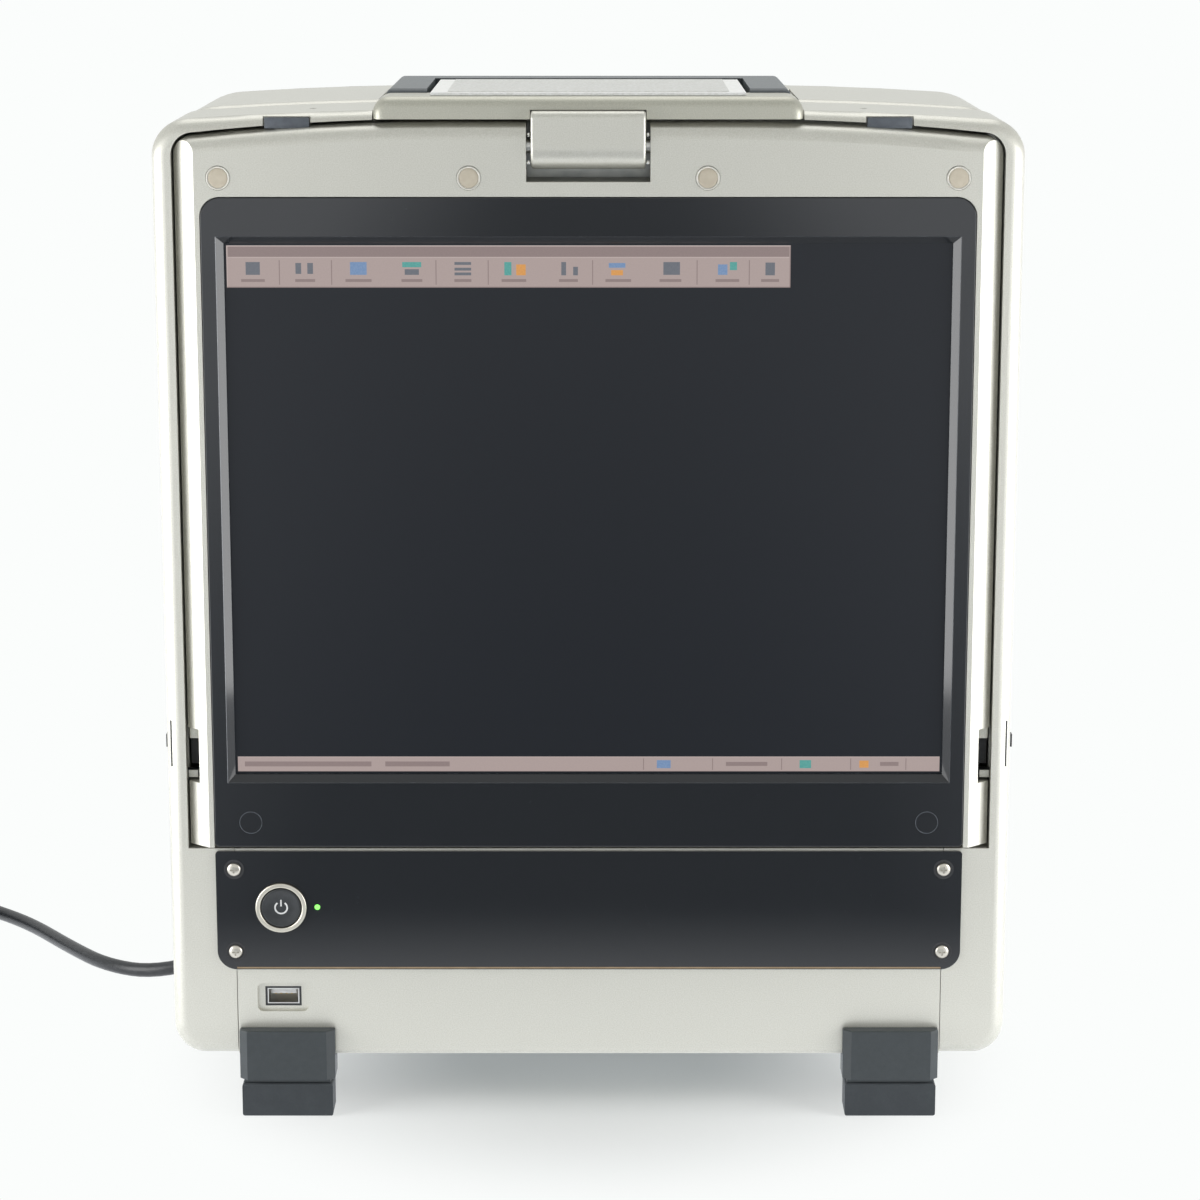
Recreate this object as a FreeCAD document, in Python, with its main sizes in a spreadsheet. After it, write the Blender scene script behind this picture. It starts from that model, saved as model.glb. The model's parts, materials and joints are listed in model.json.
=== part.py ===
import FreeCAD, Part
import Sketcher
import math
import os
import re

# Controller and display unit of a digital microscope: an upright portable case with a large
# display hung from its top edge, a folding carry handle and a mains lead.
# X runs to the right, Y to the back and Z up; the soles of the feet stand on Z = 0.

os.makedirs("parts", exist_ok=True)
doc = FreeCAD.newDocument("display_unit")

# Sizes in millimetres. A number is a driving size; a text that starts with = follows from others.
# Depths ahead of the centre are written as positive numbers.
SIZES = {
    # gaps between pieces that seat, and how far a cutting tool runs past what it cuts
    "rest_gap": 0.1, "fit_gap": 0.2, "seam": 0.3, "past": 1,
    # case moulding round the display
    "case_base": 26.4, "wall": 3, "crown_flat": 60,
    "frame_front": 84, "frame_back": 25, "frame_half": "=display_half + 9.4", "frame_top": "=display_top + 5",
    "frame_crown": 1600, "frame_high_corner": 16, "frame_low_corner": 14, "frame_round": 6,
    "opening_gap": 1.5, "side_gap": 0.8, "face_thick": "=wall + 1", "band_slot_inner": "=bed_half + 25",
    "band_slot_long": 20, "band_slot_tall": 2.4, "band_slot_deep": 4, "band_slot_below": 3,
    "dimple_radius": 1.6, "dimple_sunk": 2, "dimple_from_middle": "=bed_half + 26",
    "dimple_front": "=frame_back + 31",
    # outer shell behind it
    "shell_half": "=frame_half + 6", "shell_top": "=frame_top + 1", "shell_crown": "=frame_crown",
    "shell_high_corner": "=frame_high_corner + 14", "shell_low_corner": 12, "shell_round": 5,
    "rear_face": "=frame_front", "rear_thick": 4, "rear_round": 3,
    "rear_inside": "=rear_face - rear_thick - seam",
    "side_vent_count": 9, "side_vent_pitch": 9, "side_vent_tall": 3, "side_vent_long": 60,
    "side_vent_low": "=shell_top - 152", "side_vent_y": 20,
    "rear_screw_x": "=shell_half - 10", "rear_screw_low": "=case_base + 18.6",
    "rear_screw_mid": "=(case_base + shell_top) / 2", "rear_screw_high": "=shell_top - 17",
    "rear_screw_high_x": "=shell_half - 29.4", "rear_screw_long": 7,
    # front lower panel, control strip and button
    "sill_top": 121.3, "sill_deep": 22, "panel_half": "=frame_half - 28.7", "panel_round": 3,
    "strip_half": "=panel_half + 8.3", "strip_high": "=sill_top - 1", "strip_low": "=strip_high - 53.8",
    "strip_thick": 1.2, "strip_corner": 8.5, "strip_high_corner": 1.5,
    "strip_screw_x": "=panel_half + seam", "strip_screw_low": "=strip_low + 8.2",
    "strip_screw_high": "=strip_high - 8.1", "strip_screw_head": 3, "strip_screw_face": 2.1,
    "strip_screw_shank": 1.5, "strip_screw_head_tall": 1.4, "strip_screw_long": 8,
    "screw_socket": 1.1, "screw_socket_deep": 0.8,
    "button_x": "=strip_half - 28.3", "button_z": "=(strip_low + strip_high) / 2 + 1.5",
    "button_radius": 8.9, "button_tall": 7, "button_travel": 2.5, "button_proud": 1.2,
    "ring_bore": "=button_radius + fit_gap", "ring_outer": "=ring_bore + 2.1", "ring_proud": 1.6,
    "ring_round": 0.6, "button_round": 0.7, "button_stem": 2.5, "button_stem_long": 3,
    "switch_half": 7, "switch_deep": 8, "bracket_half": "=ring_outer + 2.8", "bracket_tall": 20,
    "bracket_thick": 1.5,
    "led_x": "=button_x - 15.8", "led_radius": 1.1, "led_proud": 0.3, "led_round": 0.5,
    "usb_x": "=panel_half - 19.9", "usb_z": "=strip_low - 13.3", "usb_well_wide": "=usb_wide + 8.2",
    "usb_well_tall": "=usb_tall + 5.6", "usb_well_deep": 2, "usb_well_corner": 2.5,
    "usb_wide": 14.2, "usb_tall": 7.4, "usb_deep": 15, "sheet_thin": 0.6,
    "tongue_wide": "=usb_wide - 3.2", "tongue_tall": 1.9, "tongue_deep": "=usb_deep - 4", "tongue_up": 0.6,
    # display
    "display_front": "=frame_front + 4", "display_back": "=display_front - 24",
    "display_half": "=display_face_half + 9", "display_face_half": "=bezel_half + 2.3",
    "display_base": "=sill_top + opening_gap", "display_top": "=hinge_z + 10", "display_crown": 1000,
    "display_corner": 8, "bevel_deep": 7.5, "display_round": 7, "display_wall": 2.5,
    "bezel_half": "=screen_wide / 2 + 10.3", "bezel_top": "=screen_mid + screen_tall / 2 + 20.6",
    "bezel_corner": 8.5,
    "bezel_thick": 4.5, "bezel_edge": 0.5, "bezel_low_corner": 2, "tray_inset": 2,
    "band_hollow_inset": 14, "band_hollow_top": 10,
    "screen_wide": 304.8, "screen_tall": 228.6, "screen_mid": "=display_base + screen_tall / 2 + 33.2",
    "screen_margin": 1, "window_bevel": 3.2, "glass_thick": 1.4, "module_thick": 5.5, "module_margin": 5,
    "cap_radius": 5, "cap_tall": 2.6, "cap_proud": 0.2, "cap_z": "=bezel_top + 8",
    "cap_outer_x": "=display_face_half - 10.2", "cap_inner_x": "=notch_half + 24",
    "plug_radius": 5, "plug_x": "=bezel_half - 15.8", "plug_z": "=display_base + 11.3", "plug_tall": 1.6,
    "board_thick": 1.6, "driver_half": 60, "driver_tall": 100, "chip_wide": 24, "chip_tall": 1.5,
    "inverter_x": 80, "inverter_long": 70, "inverter_z": "=screen_mid - screen_tall / 2 + 24",
    "inverter_tall": 25, "coil_tall": 4,
    # display hinge
    "hinge_y": "=display_front - 7", "hinge_z": "=cap_z + 12.8", "hinge_radius": 9.5,
    "hinge_block_half": 24, "hinge_block_top": "=display_top + 5", "notch_half": "=hinge_block_half + 2",
    "notch_low": "=hinge_z - hinge_radius - 5", "hinge_pin_radius": 3,
    "hinge_pin_half": "=notch_half + knuckle_wide - 1", "knuckle_wide": 14, "knuckle_low": 10.2,
    "knuckle_high": 7.2, "running_gap": 0.05, "press_gap": 0.02, "hinge_brow": 3, "hinge_end_round": 1.2,
    "bracket_arm_half": "=hinge_block_half - 4", "bracket_arm_tall": 12,
    "bracket_foot_half": "=hinge_block_half - 1",
    # display lock
    "latch_low": "=display_base + 28.2", "latch_high": "=latch_low + 24", "latch_in": "=display_half - 5",
    "keeper_low": "=latch_low + 6", "keeper_high": "=latch_high - 6", "keeper_front": "=display_back + 9.5",
    "hook_low": "=latch_low + 0.8", "hook_tall": 3.6, "hook_front": "=keeper_front + hook_thick + 0.5",
    "hook_thick": 4, "lever_travel": 14, "lever_slot_low": "=hook_low + 0.8", "knob_tall": 6.2,
    "knob_deep": 4.5, "knob_proud": 1, "lever_plate": 1.4, "lever_inner": "=frame_half - wall - 2",
    "stem_inner": "=frame_half + 0.9", "stem_outer": "=stem_inner + 1.9",
    # handle
    "deck_half": 66, "deck_back": 15, "arm_wide": 17.5, "arm_tall": 7,
    "handle_half": "=deck_half + 2.5 + arm_wide", "bar_half": "=handle_half + 4", "bed_half": "=bar_half + 1",
    "bar_front": "=frame_front + 2", "bar_back": "=bar_front - 26", "bar_top": "=frame_top + 5.8",
    "bar_low": "=display_top + 1.4", "bar_round": 4.5, "bar_end_round": 7,
    "plate_front": "=bar_front - 6", "plate_thick": 1.2, "rib_count": 22, "rib_pitch": 3.9,
    "rib_wide": 1.8, "rib_tall": 0.5, "rib_margin": 7, "rib_start": 5,
    "bed_floor": "=frame_top", "handle_z": "=bed_floor + arm_tall / 2 + 0.5", "handle_y": "=bar_back - 4.2",
    "grip_front": "=deck_back + 3", "grip_deep": 22, "handle_round": 3.2, "handle_pin_radius": 1.6,
    "handle_pin_long": 14, "bed_rear": "=grip_front + grip_deep + 6", "bed_round": 2.5,
    # feet
    "foot_wide": 42, "foot_outer": "=panel_half - 0.7", "foot_inner": "=foot_outer - foot_wide",
    "foot_middle": "=foot_outer - foot_wide / 2", "foot_front": "=frame_front + 7", "foot_deep": 52,
    "sole_tall": 15.5, "sole_groove": 1.6, "foot_top": "=case_base + 13.2", "foot_step": 1, "foot_face": 16,
    "foot_relief": 5, "foot_neck": 2,
    "foot_bevel": 3.5, "foot_round": 1, "sole_round": 1.6, "foot_screw_radius": 2.5, "foot_screw_in": 12,
    "base_vent_count": 6, "base_vent_pitch": 8, "base_vent_y": 20, "base_vent_half": 70,
    "base_vent_wide": 3.2,
    # inner chassis
    "plate_half": "=display_half - 2", "plate_y": "=display_back - 4.5", "plate_steel": 2,
    "chassis_top": "=display_top - 2", "shelf_z": "=sill_top - 1.3", "shelf_half": "=panel_half - 4.7",
    "shelf_lip": 14, "standoff_radius": 3, "standoff_long": 6, "post_inset": 6,
    # boards and drives
    "main_half": 100, "main_low": "=shelf_z + 30", "main_high": "=chassis_top - 39", "memory_x": 45,
    "memory_thick": 7, "memory_tall": 28, "memory_low": "=main_low + 10", "memory_long": 133,
    "main_chip_x": 60, "main_chip": 30, "main_chip_z": "=main_low + 50", "sink_half": 30,
    "sink_low": "=main_high - 95", "sink_tall": 60, "sink_base": 4, "sink_deep": 26, "fin_count": 9,
    "fin_thick": 1.6, "units_front": 50, "disk_x": 20, "disk_wide": 101.6, "disk_long": 146, "disk_tall": 26,
    "supply_x": "=disk_x + supply_wide + 5", "supply_wide": 100, "supply_deep": 110, "supply_tall": 62,
    "supply_slots": 6, "supply_slot_pitch": 12, "supply_slot_wide": 4, "supply_slot_long": 70,
    # light source
    "lamp_x": "=shell_half - 79.4", "lamp_z": "=shelf_z + lamp_case_half + 4", "lamp_case_half": 34,
    "lamp_case_front": 20, "reflector_radius": 25, "reflector_deep": 30, "reflector_throat": 10,
    "reflector_thick": 1.4, "reflector_foot": 12, "holder_radius": 9, "holder_long": 8, "lamp_radius": 5,
    "lamp_long": 19, "port_bore": 7.5, "port_outer": "=port_bore + 3.5", "port_flange": "=port_outer + 5",
    "port_long": 20, "port_proud": 6, "port_flange_thick": 2.5,
    # fan
    "fan_x": "=shell_half - 109.4", "fan_z": "=shell_top - 172", "fan_size": 92, "fan_deep": 25,
    "fan_bore": "=fan_size / 2 - 2.5", "blade_tip": "=fan_bore - 2", "hub_radius": 19, "blade_count": 7,
    "blade_root_pitch": 48, "blade_root_chord": 19, "blade_tip_pitch": 28, "blade_tip_chord": 26,
    "blade_thick": 1, "blade_camber": 1.4, "hub_long": 15, "motor_long": 6, "hub_cap": 1.5, "hub_lip": 2,
    "strut_wide": 3.2,
    "shaft_radius": 1.5, "guard_wire": 1.6, "guard_rings": 4, "guard_pitch": 11, "guard_reach": 4,
    "rear_vent_count": 12, "rear_vent_pitch": 7, "rear_vent_z": "=shell_top - 102", "rear_vent_x": 0,
    "rear_vent_long": 150, "rear_vent_tall": 3,
    # speaker
    "speaker_y": 20, "speaker_z": "=side_vent_low - 70", "speaker_radius": 25, "speaker_deep": 13,
    "speaker_rim": 3, "speaker_magnet": 14.5,
    # rear sockets
    "inlet_x": "=shell_half - 71.4", "inlet_z": "=case_base + 37.6", "inlet_wide": 30, "inlet_tall": 24,
    "inlet_deep": 20, "inlet_flange": 5, "inlet_flange_thick": 2, "inlet_well_deep": 16, "inlet_wall": 2.5,
    "inlet_lip": 2, "contact_pitch": 7, "contact_drop": 2.5, "contact_thick": 2, "contact_tall": 4,
    "socket_z": "=case_base + 69.6", "socket_wide": 14.5, "socket_tall": 13, "socket_count": 4,
    "socket_pitch": 22, "socket_x": 20, "socket_deep": 18, "socket_well": 12, "socket_proud": 0.6,
    "camera_socket_x": "=lamp_x", "camera_socket_z": "=lamp_z + 72", "camera_socket_radius": 11,
    "camera_socket_bore": "=camera_socket_radius - 3", "camera_socket_deep": 15, "camera_socket_proud": 4,
    "camera_collar": "=camera_socket_radius + 3", "camera_core": "=camera_socket_bore - 2",
    # mains lead
    "cord_diameter": 7, "sleeve_long": 38, "sleeve_radius": 7.5, "sleeve_lip": 0.8,
    "coil_mid": 77, "coil_x": 375, "coil_y": 206, "coil_turns_wide": 2, "coil_turns_tall": 3,
    "connector_half": 12, "connector_long": 26, "connector_tall": 18, "connector_nose": 10,
    "plug_x_from_coil": "=coil_mid / 2 + cord_diameter + plug_tail_end", "plug_body_wide": 24,
    "plug_body_tall": 22, "plug_body_long": 34,
    "plug_round": 4, "plug_tail_y": 6, "plug_tail_wide": 6.5, "plug_tail_end": 4.2, "plug_tail_long": 26,
    "plug_blade": 1.6, "plug_blade_x": 6.35, "plug_blade_long": 17, "plug_blade_low": 5,
    "plug_blade_tall": 6.2,
    "plug_pin": 2.4, "plug_pin_up": 6,
}

sheet = doc.addObject("Spreadsheet::Sheet", "sizes")
for row, alias in enumerate(SIZES, start=1):
    sheet.set(f"A{row}", alias)
    sheet.setAlias(f"B{row}", alias)
for row, content in enumerate(SIZES.values(), start=1):
    sheet.set(f"B{row}", str(content))
doc.recompute()

PARTS = []


def bound(text):
    """Name the sheet before each size in an expression."""
    return re.sub(r"[a-z_]+",
                  lambda word: "sizes." + word.group() if word.group() in SIZES else word.group(), text)


def value(text):
    """The number that an expression gives with the sizes as they are."""
    return float(sheet.evalExpression(text))


def node(label, obj):
    """Mark an object as one separate piece of the product."""
    obj.Label = label
    PARTS.append((label, obj))
    return obj


def block(name, x, y, z):
    """A box between two limits on each axis."""
    box = doc.addObject("Part::Box", name)
    for size, axis, (low, high) in (("Length", "x", x), ("Width", "y", y), ("Height", "z", z)):
        box.setExpression(size, bound(f"({high}) - ({low})"))
        box.setExpression("Placement.Base." + axis, bound(low))
    return box


TURNS = {
    "x": FreeCAD.Rotation(FreeCAD.Vector(0, 1, 0), 90),
    "y": FreeCAD.Rotation(FreeCAD.Vector(1, 0, 0), -90),
    "z": FreeCAD.Rotation(),
}


def rod(name, axis, radius, start, length):
    """A cylinder that runs from start along +axis."""
    shape = doc.addObject("Part::Cylinder", name)
    shape.Placement.Rotation = TURNS[axis]
    shape.setExpression("Radius", bound(radius))
    shape.setExpression("Height", bound(length))
    for letter, place in zip("xyz", start):
        shape.setExpression("Placement.Base." + letter, bound(place))
    return shape


def cone(name, axis, first, last, start, length):
    """A cone frustum that runs from start along +axis."""
    shape = doc.addObject("Part::Cone", name)
    shape.Placement.Rotation = TURNS[axis]
    shape.setExpression("Radius1", bound(first))
    shape.setExpression("Radius2", bound(last))
    shape.setExpression("Height", bound(length))
    for letter, place in zip("xyz", start):
        shape.setExpression("Placement.Base." + letter, bound(place))
    return shape


def join(name, *pieces):
    fused = doc.addObject("Part::MultiFuse", name)
    fused.Shapes = list(pieces)
    return fused


def group(name, *pieces):
    """Separate solids that are one node, such as a set of screws."""
    gathered = doc.addObject("Part::Compound", name)
    gathered.Links = list(pieces)
    return gathered


def cut(name, base, *tools):
    result = doc.addObject("Part::Cut", name)
    result.Base = base
    result.Tool = tools[0] if len(tools) == 1 else join(name + "_tools", *tools)
    return result


def mirror(name, source):
    """The same piece on the other side of X = 0."""
    twin = doc.addObject("Part::Mirroring", name)
    twin.Source = source
    twin.Normal = FreeCAD.Vector(1, 0, 0)
    return twin


def both(name, piece):
    """A piece and its mirror image as one group."""
    return group(name, piece, mirror(name + "_twin", piece))


# How near, in millimetres, an edge lies to its plane, and the least length that counts as a run.
NEAR = 0.02
SHORTEST = 0.1


def lies(edge, **planes):
    """True where an edge lies wholly in each plane, such as y=-84."""
    box = edge.BoundBox
    spans = {"x": (box.XMin, box.XMax), "y": (box.YMin, box.YMax), "z": (box.ZMin, box.ZMax)}
    return all(max(abs(end - place) for end in spans[axis]) < NEAR for axis, place in planes.items())


def runs(edge, axis):
    """True for a straight edge along an axis."""
    box = edge.BoundBox
    spans = {"x": box.XLength, "y": box.YLength, "z": box.ZLength}
    return all((span > SHORTEST) == (letter == axis) for letter, span in spans.items())


def rounded(name, base, radius, test):
    """Round the edges of a finished solid that pass a test."""
    doc.recompute()
    size = value(radius)
    fillet = doc.addObject("Part::Fillet", name)
    fillet.Base = base
    fillet.Edges = [(number, size, size) for number,
                    edge in enumerate(base.Shape.Edges, start=1) if test(edge)]
    return fillet


def bevel(name, base, size, test):
    """Bevel the edges of a finished solid that pass a test."""
    doc.recompute()
    width = value(size)
    chamfer = doc.addObject("Part::Chamfer", name)
    chamfer.Base = base
    chamfer.Edges = [(number, width, width) for number,
                     edge in enumerate(base.Shape.Edges, start=1) if test(edge)]
    return chamfer


PLANES = {"XY": "XY_Plane", "XZ": "XZ_Plane", "YZ": "YZ_Plane"}


def arc_between(first, last, radius):
    """An arc that bulges to the right of the way from first to last."""
    chord = last - first
    half = chord.Length / 2
    side = FreeCAD.Vector(chord.y, -chord.x, 0).normalize()
    rise = radius - math.sqrt(max(radius * radius - half * half, 0))
    return Part.Arc(first, (first + last) / 2 + side * rise, last)


def outline(body, name, plane, offset, points):
    """A closed sketch; a point with a third entry starts an arc of that radius to the next."""
    sketch = body.newObject("Sketcher::SketchObject", name)
    origin_plane = [item for item in body.Origin.OriginFeatures if item.Role == PLANES[plane]][0]
    sketch.AttachmentSupport = [(origin_plane, "")]
    sketch.MapMode = "FlatFace"
    sketch.setExpression("AttachmentOffset.Base.z", bound(offset))
    corners = [FreeCAD.Vector(value(point[0]), value(point[1]), 0) for point in points]
    for index, point in enumerate(points):
        start, end = corners[index], corners[(index + 1) % len(points)]
        if len(point) == 3:
            sketch.addGeometry(arc_between(start, end, value(point[2])), False)
        else:
            sketch.addGeometry(Part.LineSegment(start, end), False)
    ends = []
    for index, shape in enumerate(sketch.Geometry):
        flipped = (shape.StartPoint - corners[index]).Length > (shape.EndPoint - corners[index]).Length
        ends.append((2, 1) if flipped else (1, 2))
    for index in range(len(points)):
        after = (index + 1) % len(points)
        sketch.addConstraint(Sketcher.Constraint("Coincident", index, ends[index][1], after, ends[after][0]))
    for index, point in enumerate(points):
        for kind, text, number in (("DistanceX", point[0], corners[index].x),
                                   ("DistanceY", point[1], corners[index].y)):
            place = sketch.addConstraint(Sketcher.Constraint(kind, -1, 1, index, ends[index][0], number))
            sketch.setExpression(f"Constraints[{place}]", bound(text))
        if len(point) == 3:
            place = sketch.addConstraint(Sketcher.Constraint("Radius", index, value(point[2])))
            sketch.setExpression(f"Constraints[{place}]", bound(point[2]))
    return sketch


def new_body(label):
    return doc.addObject("PartDesign::Body", label)


def pad(body, name, plane, points, low, high):
    """Solid stuff between two places on the axis that crosses the plane."""
    offset = f"-({high})" if plane == "XZ" else low
    feature = body.newObject("PartDesign::Pad", name)
    feature.Profile = outline(body, name + "_outline", plane, offset, points)
    feature.setExpression("Length", bound(f"({high}) - ({low})"))
    doc.recompute()
    return feature


def pocket(body, name, plane, points, low, high):
    """A hollow between two places on the axis that crosses the plane."""
    before = body.Shape.Volume
    offset = f"-({low})" if plane == "XZ" else high
    feature = body.newObject("PartDesign::Pocket", name)
    feature.Profile = outline(body, name + "_outline", plane, offset, points)
    feature.setExpression("Length", bound(f"({high}) - ({low})"))
    doc.recompute()
    if not body.Shape.Volume < before:
        raise ValueError(f"{name} cuts nothing")
    return feature


def dress(body, name, kind, size, test):
    """Round or bevel the edges of a body's last feature that pass a test."""
    base = body.Tip
    chosen = [f"Edge{number}" for number, edge in enumerate(base.Shape.Edges, start=1) if test(edge)]
    feature = body.newObject("PartDesign::" + kind, name)
    feature.Base = (base, chosen)
    feature.setExpression("Radius" if kind == "Fillet" else "Size", bound(size))
    doc.recompute()
    return feature


def rectangle(left, right, low, high):
    return [(left, low), (right, low), (right, high), (left, high)]


def soft_rectangle(left, right, low, high, top_radius, low_radius):
    """A rectangle with round corners, of one radius above and one below."""
    return [
        (f"{left} + {low_radius}", low), (f"{right} - {low_radius}", low, low_radius),
        (right, f"{low} + {low_radius}"), (right, f"{high} - {top_radius}", top_radius),
        (f"{right} - {top_radius}", high), (f"{left} + {top_radius}", high, top_radius),
        (left, f"{high} - {top_radius}"), (left, f"{low} + {low_radius}", low_radius),
    ]


def arched(half, base, top, crown, corner, low_corner=None):
    """The case outline from the front: flat in the middle of its top, then falling to round corners."""
    reach = f"(({half}) - ({corner}) - crown_flat)"
    inner = f"(({crown}) - ({corner}))"
    rise = f"sqrt({inner} ^ 2 - {reach} ^ 2)"
    shoulder = f"({top}) - ({crown}) + {rise}"
    join_x = f"crown_flat + ({crown}) * {reach} / {inner}"
    join_z = f"({top}) - ({crown}) + ({crown}) * {rise} / {inner}"
    upper = [
        (half, shoulder, corner), (join_x, join_z, crown), ("crown_flat", top),
        ("-crown_flat", top, crown), (f"-({join_x})", join_z, corner), (f"-({half})", shoulder),
    ]
    if low_corner is None:
        return [(f"-({half})", base), (half, base)] + upper
    lower = [
        (f"-({half}) + {low_corner}", base), (f"({half}) - {low_corner}", base, low_corner),
        (half, f"({base}) + {low_corner}"),
    ]
    return lower + upper + [(f"-({half})", f"({base}) + {low_corner}", low_corner)]


SIDES = (("left", -1), ("right", 1))


def span(side, inner, outer):
    """Limits in X of something between two distances from the middle, on one side."""
    if side < 0:
        return (f"-({outer})", f"-({inner})")
    return (inner, outer)


def front_frame():
    """One moulding: two legs joined by the band over the display."""
    body = new_body("front_frame_body")
    half, base, top = "frame_half", "case_base", "frame_top"
    shape = arched(half, base, top, "frame_crown", "frame_high_corner", "frame_low_corner")
    pad(body, "frame_block", "XZ", shape, "-frame_front", "-frame_back")
    dress(body, "frame_front_round", "Fillet", "frame_round", lambda e: lies(e, y=value("-frame_front")))
    opening = arched("display_half + side_gap", "sill_top", "display_top + opening_gap", "display_crown",
                     "display_corner + opening_gap")
    pocket(body, "display_opening", "XZ", opening, "-frame_front - wall", "-frame_back + wall")
    middle = rectangle("-panel_half - seam", "panel_half + seam", "case_base - wall", "sill_top + wall")
    pocket(body, "lower_middle", "XZ", middle, "-frame_front - wall", "-frame_back + wall")
    for name, side in SIDES:
        left, right = span(side, "display_half + side_gap + wall", "frame_half - wall")
        hollow = rectangle(left, right, "case_base + frame_low_corner",
                           "frame_top - frame_high_corner - 2 * wall")
        pocket(body, name + "_side_hollow", "XZ", hollow, "-frame_front + face_thick", "-frame_back + wall")
        left, right = span(side, "panel_half + seam + wall", "frame_half - frame_low_corner")
        hollow = rectangle(left, right, "case_base + wall", "sill_top - wall")
        pocket(body, name + "_leg_hollow", "XZ", hollow, "-frame_front + wall", "-frame_back + wall")
        left, right = span(side, "display_half", "display_half + side_gap + wall + past")
        window = rectangle(left, right, "latch_low", "latch_high")
        pocket(body, name + "_latch_window", "XZ", window, "-hook_front - past",
               "-hook_front + hook_thick + past")
        left, right = span(side, "band_slot_inner", "band_slot_inner + band_slot_long")
        slot = rectangle(left, right, "display_top - band_slot_below", "display_top + band_slot_tall")
        pocket(body, name + "_band_slot", "XZ", slot, "-frame_front - past", "-frame_front + band_slot_deep")
    seat = rectangle("-bar_half - seam", "bar_half + seam", "display_top", "frame_top + 2 * wall")
    pocket(body, "bar_seat", "XZ", seat, "-frame_front - wall", "-bar_back + seam")
    dimples = [rod(f"band_dimple_{name}", "z", "dimple_radius",
                   (f"{side} * dimple_from_middle", "-dimple_front",
                                                                 "frame_top - dimple_sunk"), "wall")
               for name, side in SIDES]
    node("front_frame", cut("front_frame_cut", body, *dimples, *strip_screw_holes("frame")))


def shell_block(label, low, high):
    """The outer shell's full outline between two depths."""
    body = new_body(label + "_body")
    shape = arched("shell_half", "case_base", "shell_top", "shell_crown", "shell_high_corner",
                   "shell_low_corner")
    pad(body, label + "_block", "XZ", shape, low, high)
    return body


def strip_screw_holes(owner):
    """Clearance holes for the four screws of the control strip, on the seam of frame and panel."""
    return [rod(f"{owner}_screw_hole_{name}_{level}", "y", "strip_screw_shank + rest_gap",
                (f"{side} * strip_screw_x", "-frame_front - past", f"strip_screw_{level}"),
                "strip_screw_long + 2 * past")
            for name, side in SIDES for level in ("low", "high")]


def side_covers():
    """Left and right outer shells: side wall, top corner, bottom lip and the step to the frame."""
    front, back = "-frame_back + seam", "rear_face - rear_thick - seam"
    body = shell_block("left_side_cover", front, back)
    dress(body, "shoulder_round", "Fillet", "shell_round", lambda e: lies(e, y=value(front)))
    inner = arched("shell_half - wall", "case_base + wall", "shell_top - wall", "shell_crown - wall",
                   "shell_high_corner - wall", "shell_low_corner - wall")
    pocket(body, "shell_hollow", "XZ", inner, f"{front} + wall", back)
    mouth = arched("frame_half - wall", "case_base + wall", "frame_top - wall", "frame_crown - wall",
                   "frame_high_corner - wall", "frame_low_corner - wall")
    pocket(body, "shell_mouth", "XZ", mouth, f"{front} - past", f"{front} + wall + past")
    beyond = rectangle("-bed_half - seam", "shell_half + wall", "case_base - wall", "shell_top + wall")
    pocket(body, "beyond_the_seam", "XZ", beyond, f"{front} - past", f"{back} + past")
    below = rectangle("-panel_half - seam", "-bed_half", "case_base - wall", "case_base + 2 * wall")
    pocket(body, "below_the_base", "XZ", below, f"{front} - past", f"{back} + past")
    slot = rectangle("-stem_outer - 4 * fit_gap", "-stem_inner + 2 * fit_gap", "lever_slot_low",
                     "lever_slot_low + knob_tall + lever_travel + past")
    pocket(body, "lever_slot", "XZ", slot, f"{front} - past", f"{front} + wall + past")
    vent = rectangle("side_vent_y - side_vent_long / 2", "side_vent_y + side_vent_long / 2", "side_vent_low",
                     "side_vent_low + side_vent_tall")
    vents = pocket(body, "side_vent", "YZ", vent, "-shell_half - past", "-shell_half + wall + past")
    row = body.newObject("PartDesign::LinearPattern", "side_vents")
    row.Originals = [vents]
    row.Direction = (vents.Profile[0], ["V_Axis"])
    row.setExpression("Occurrences", bound("side_vent_count"))
    row.setExpression("Length", bound("(side_vent_count - 1) * side_vent_pitch"))
    body.Tip = row
    doc.recompute()
    node("left_side_cover", body)
    node("right_side_cover", mirror("right_side_cover_twin", body))


def top_cover():
    """The bed of the handle between the side covers, with the raised rear edge."""
    back = "rear_face - rear_thick - seam"
    x = ("-bed_half", "bed_half")
    floor = block("bed_floor_plate", x, ("-frame_back + seam", back), ("bed_floor - wall", "bed_floor"))
    hump = block("bed_hump", x, ("bed_rear", back), ("bed_floor - wall", "shell_top"))
    softened = rounded("bed_hump_round", hump, "bed_round",
                       lambda e: runs(e, "x") and lies(e, y=value("bed_rear"), z=value("shell_top")))
    under = block("bed_under", ("-bed_half + wall", "bed_half - wall"), ("bed_rear + wall", f"{back} - wall"),
                  ("bed_floor - wall - past", "shell_top - wall"))
    node("top_cover", cut("top_cover_cut", join("top_cover_whole", floor, softened), under))


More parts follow.
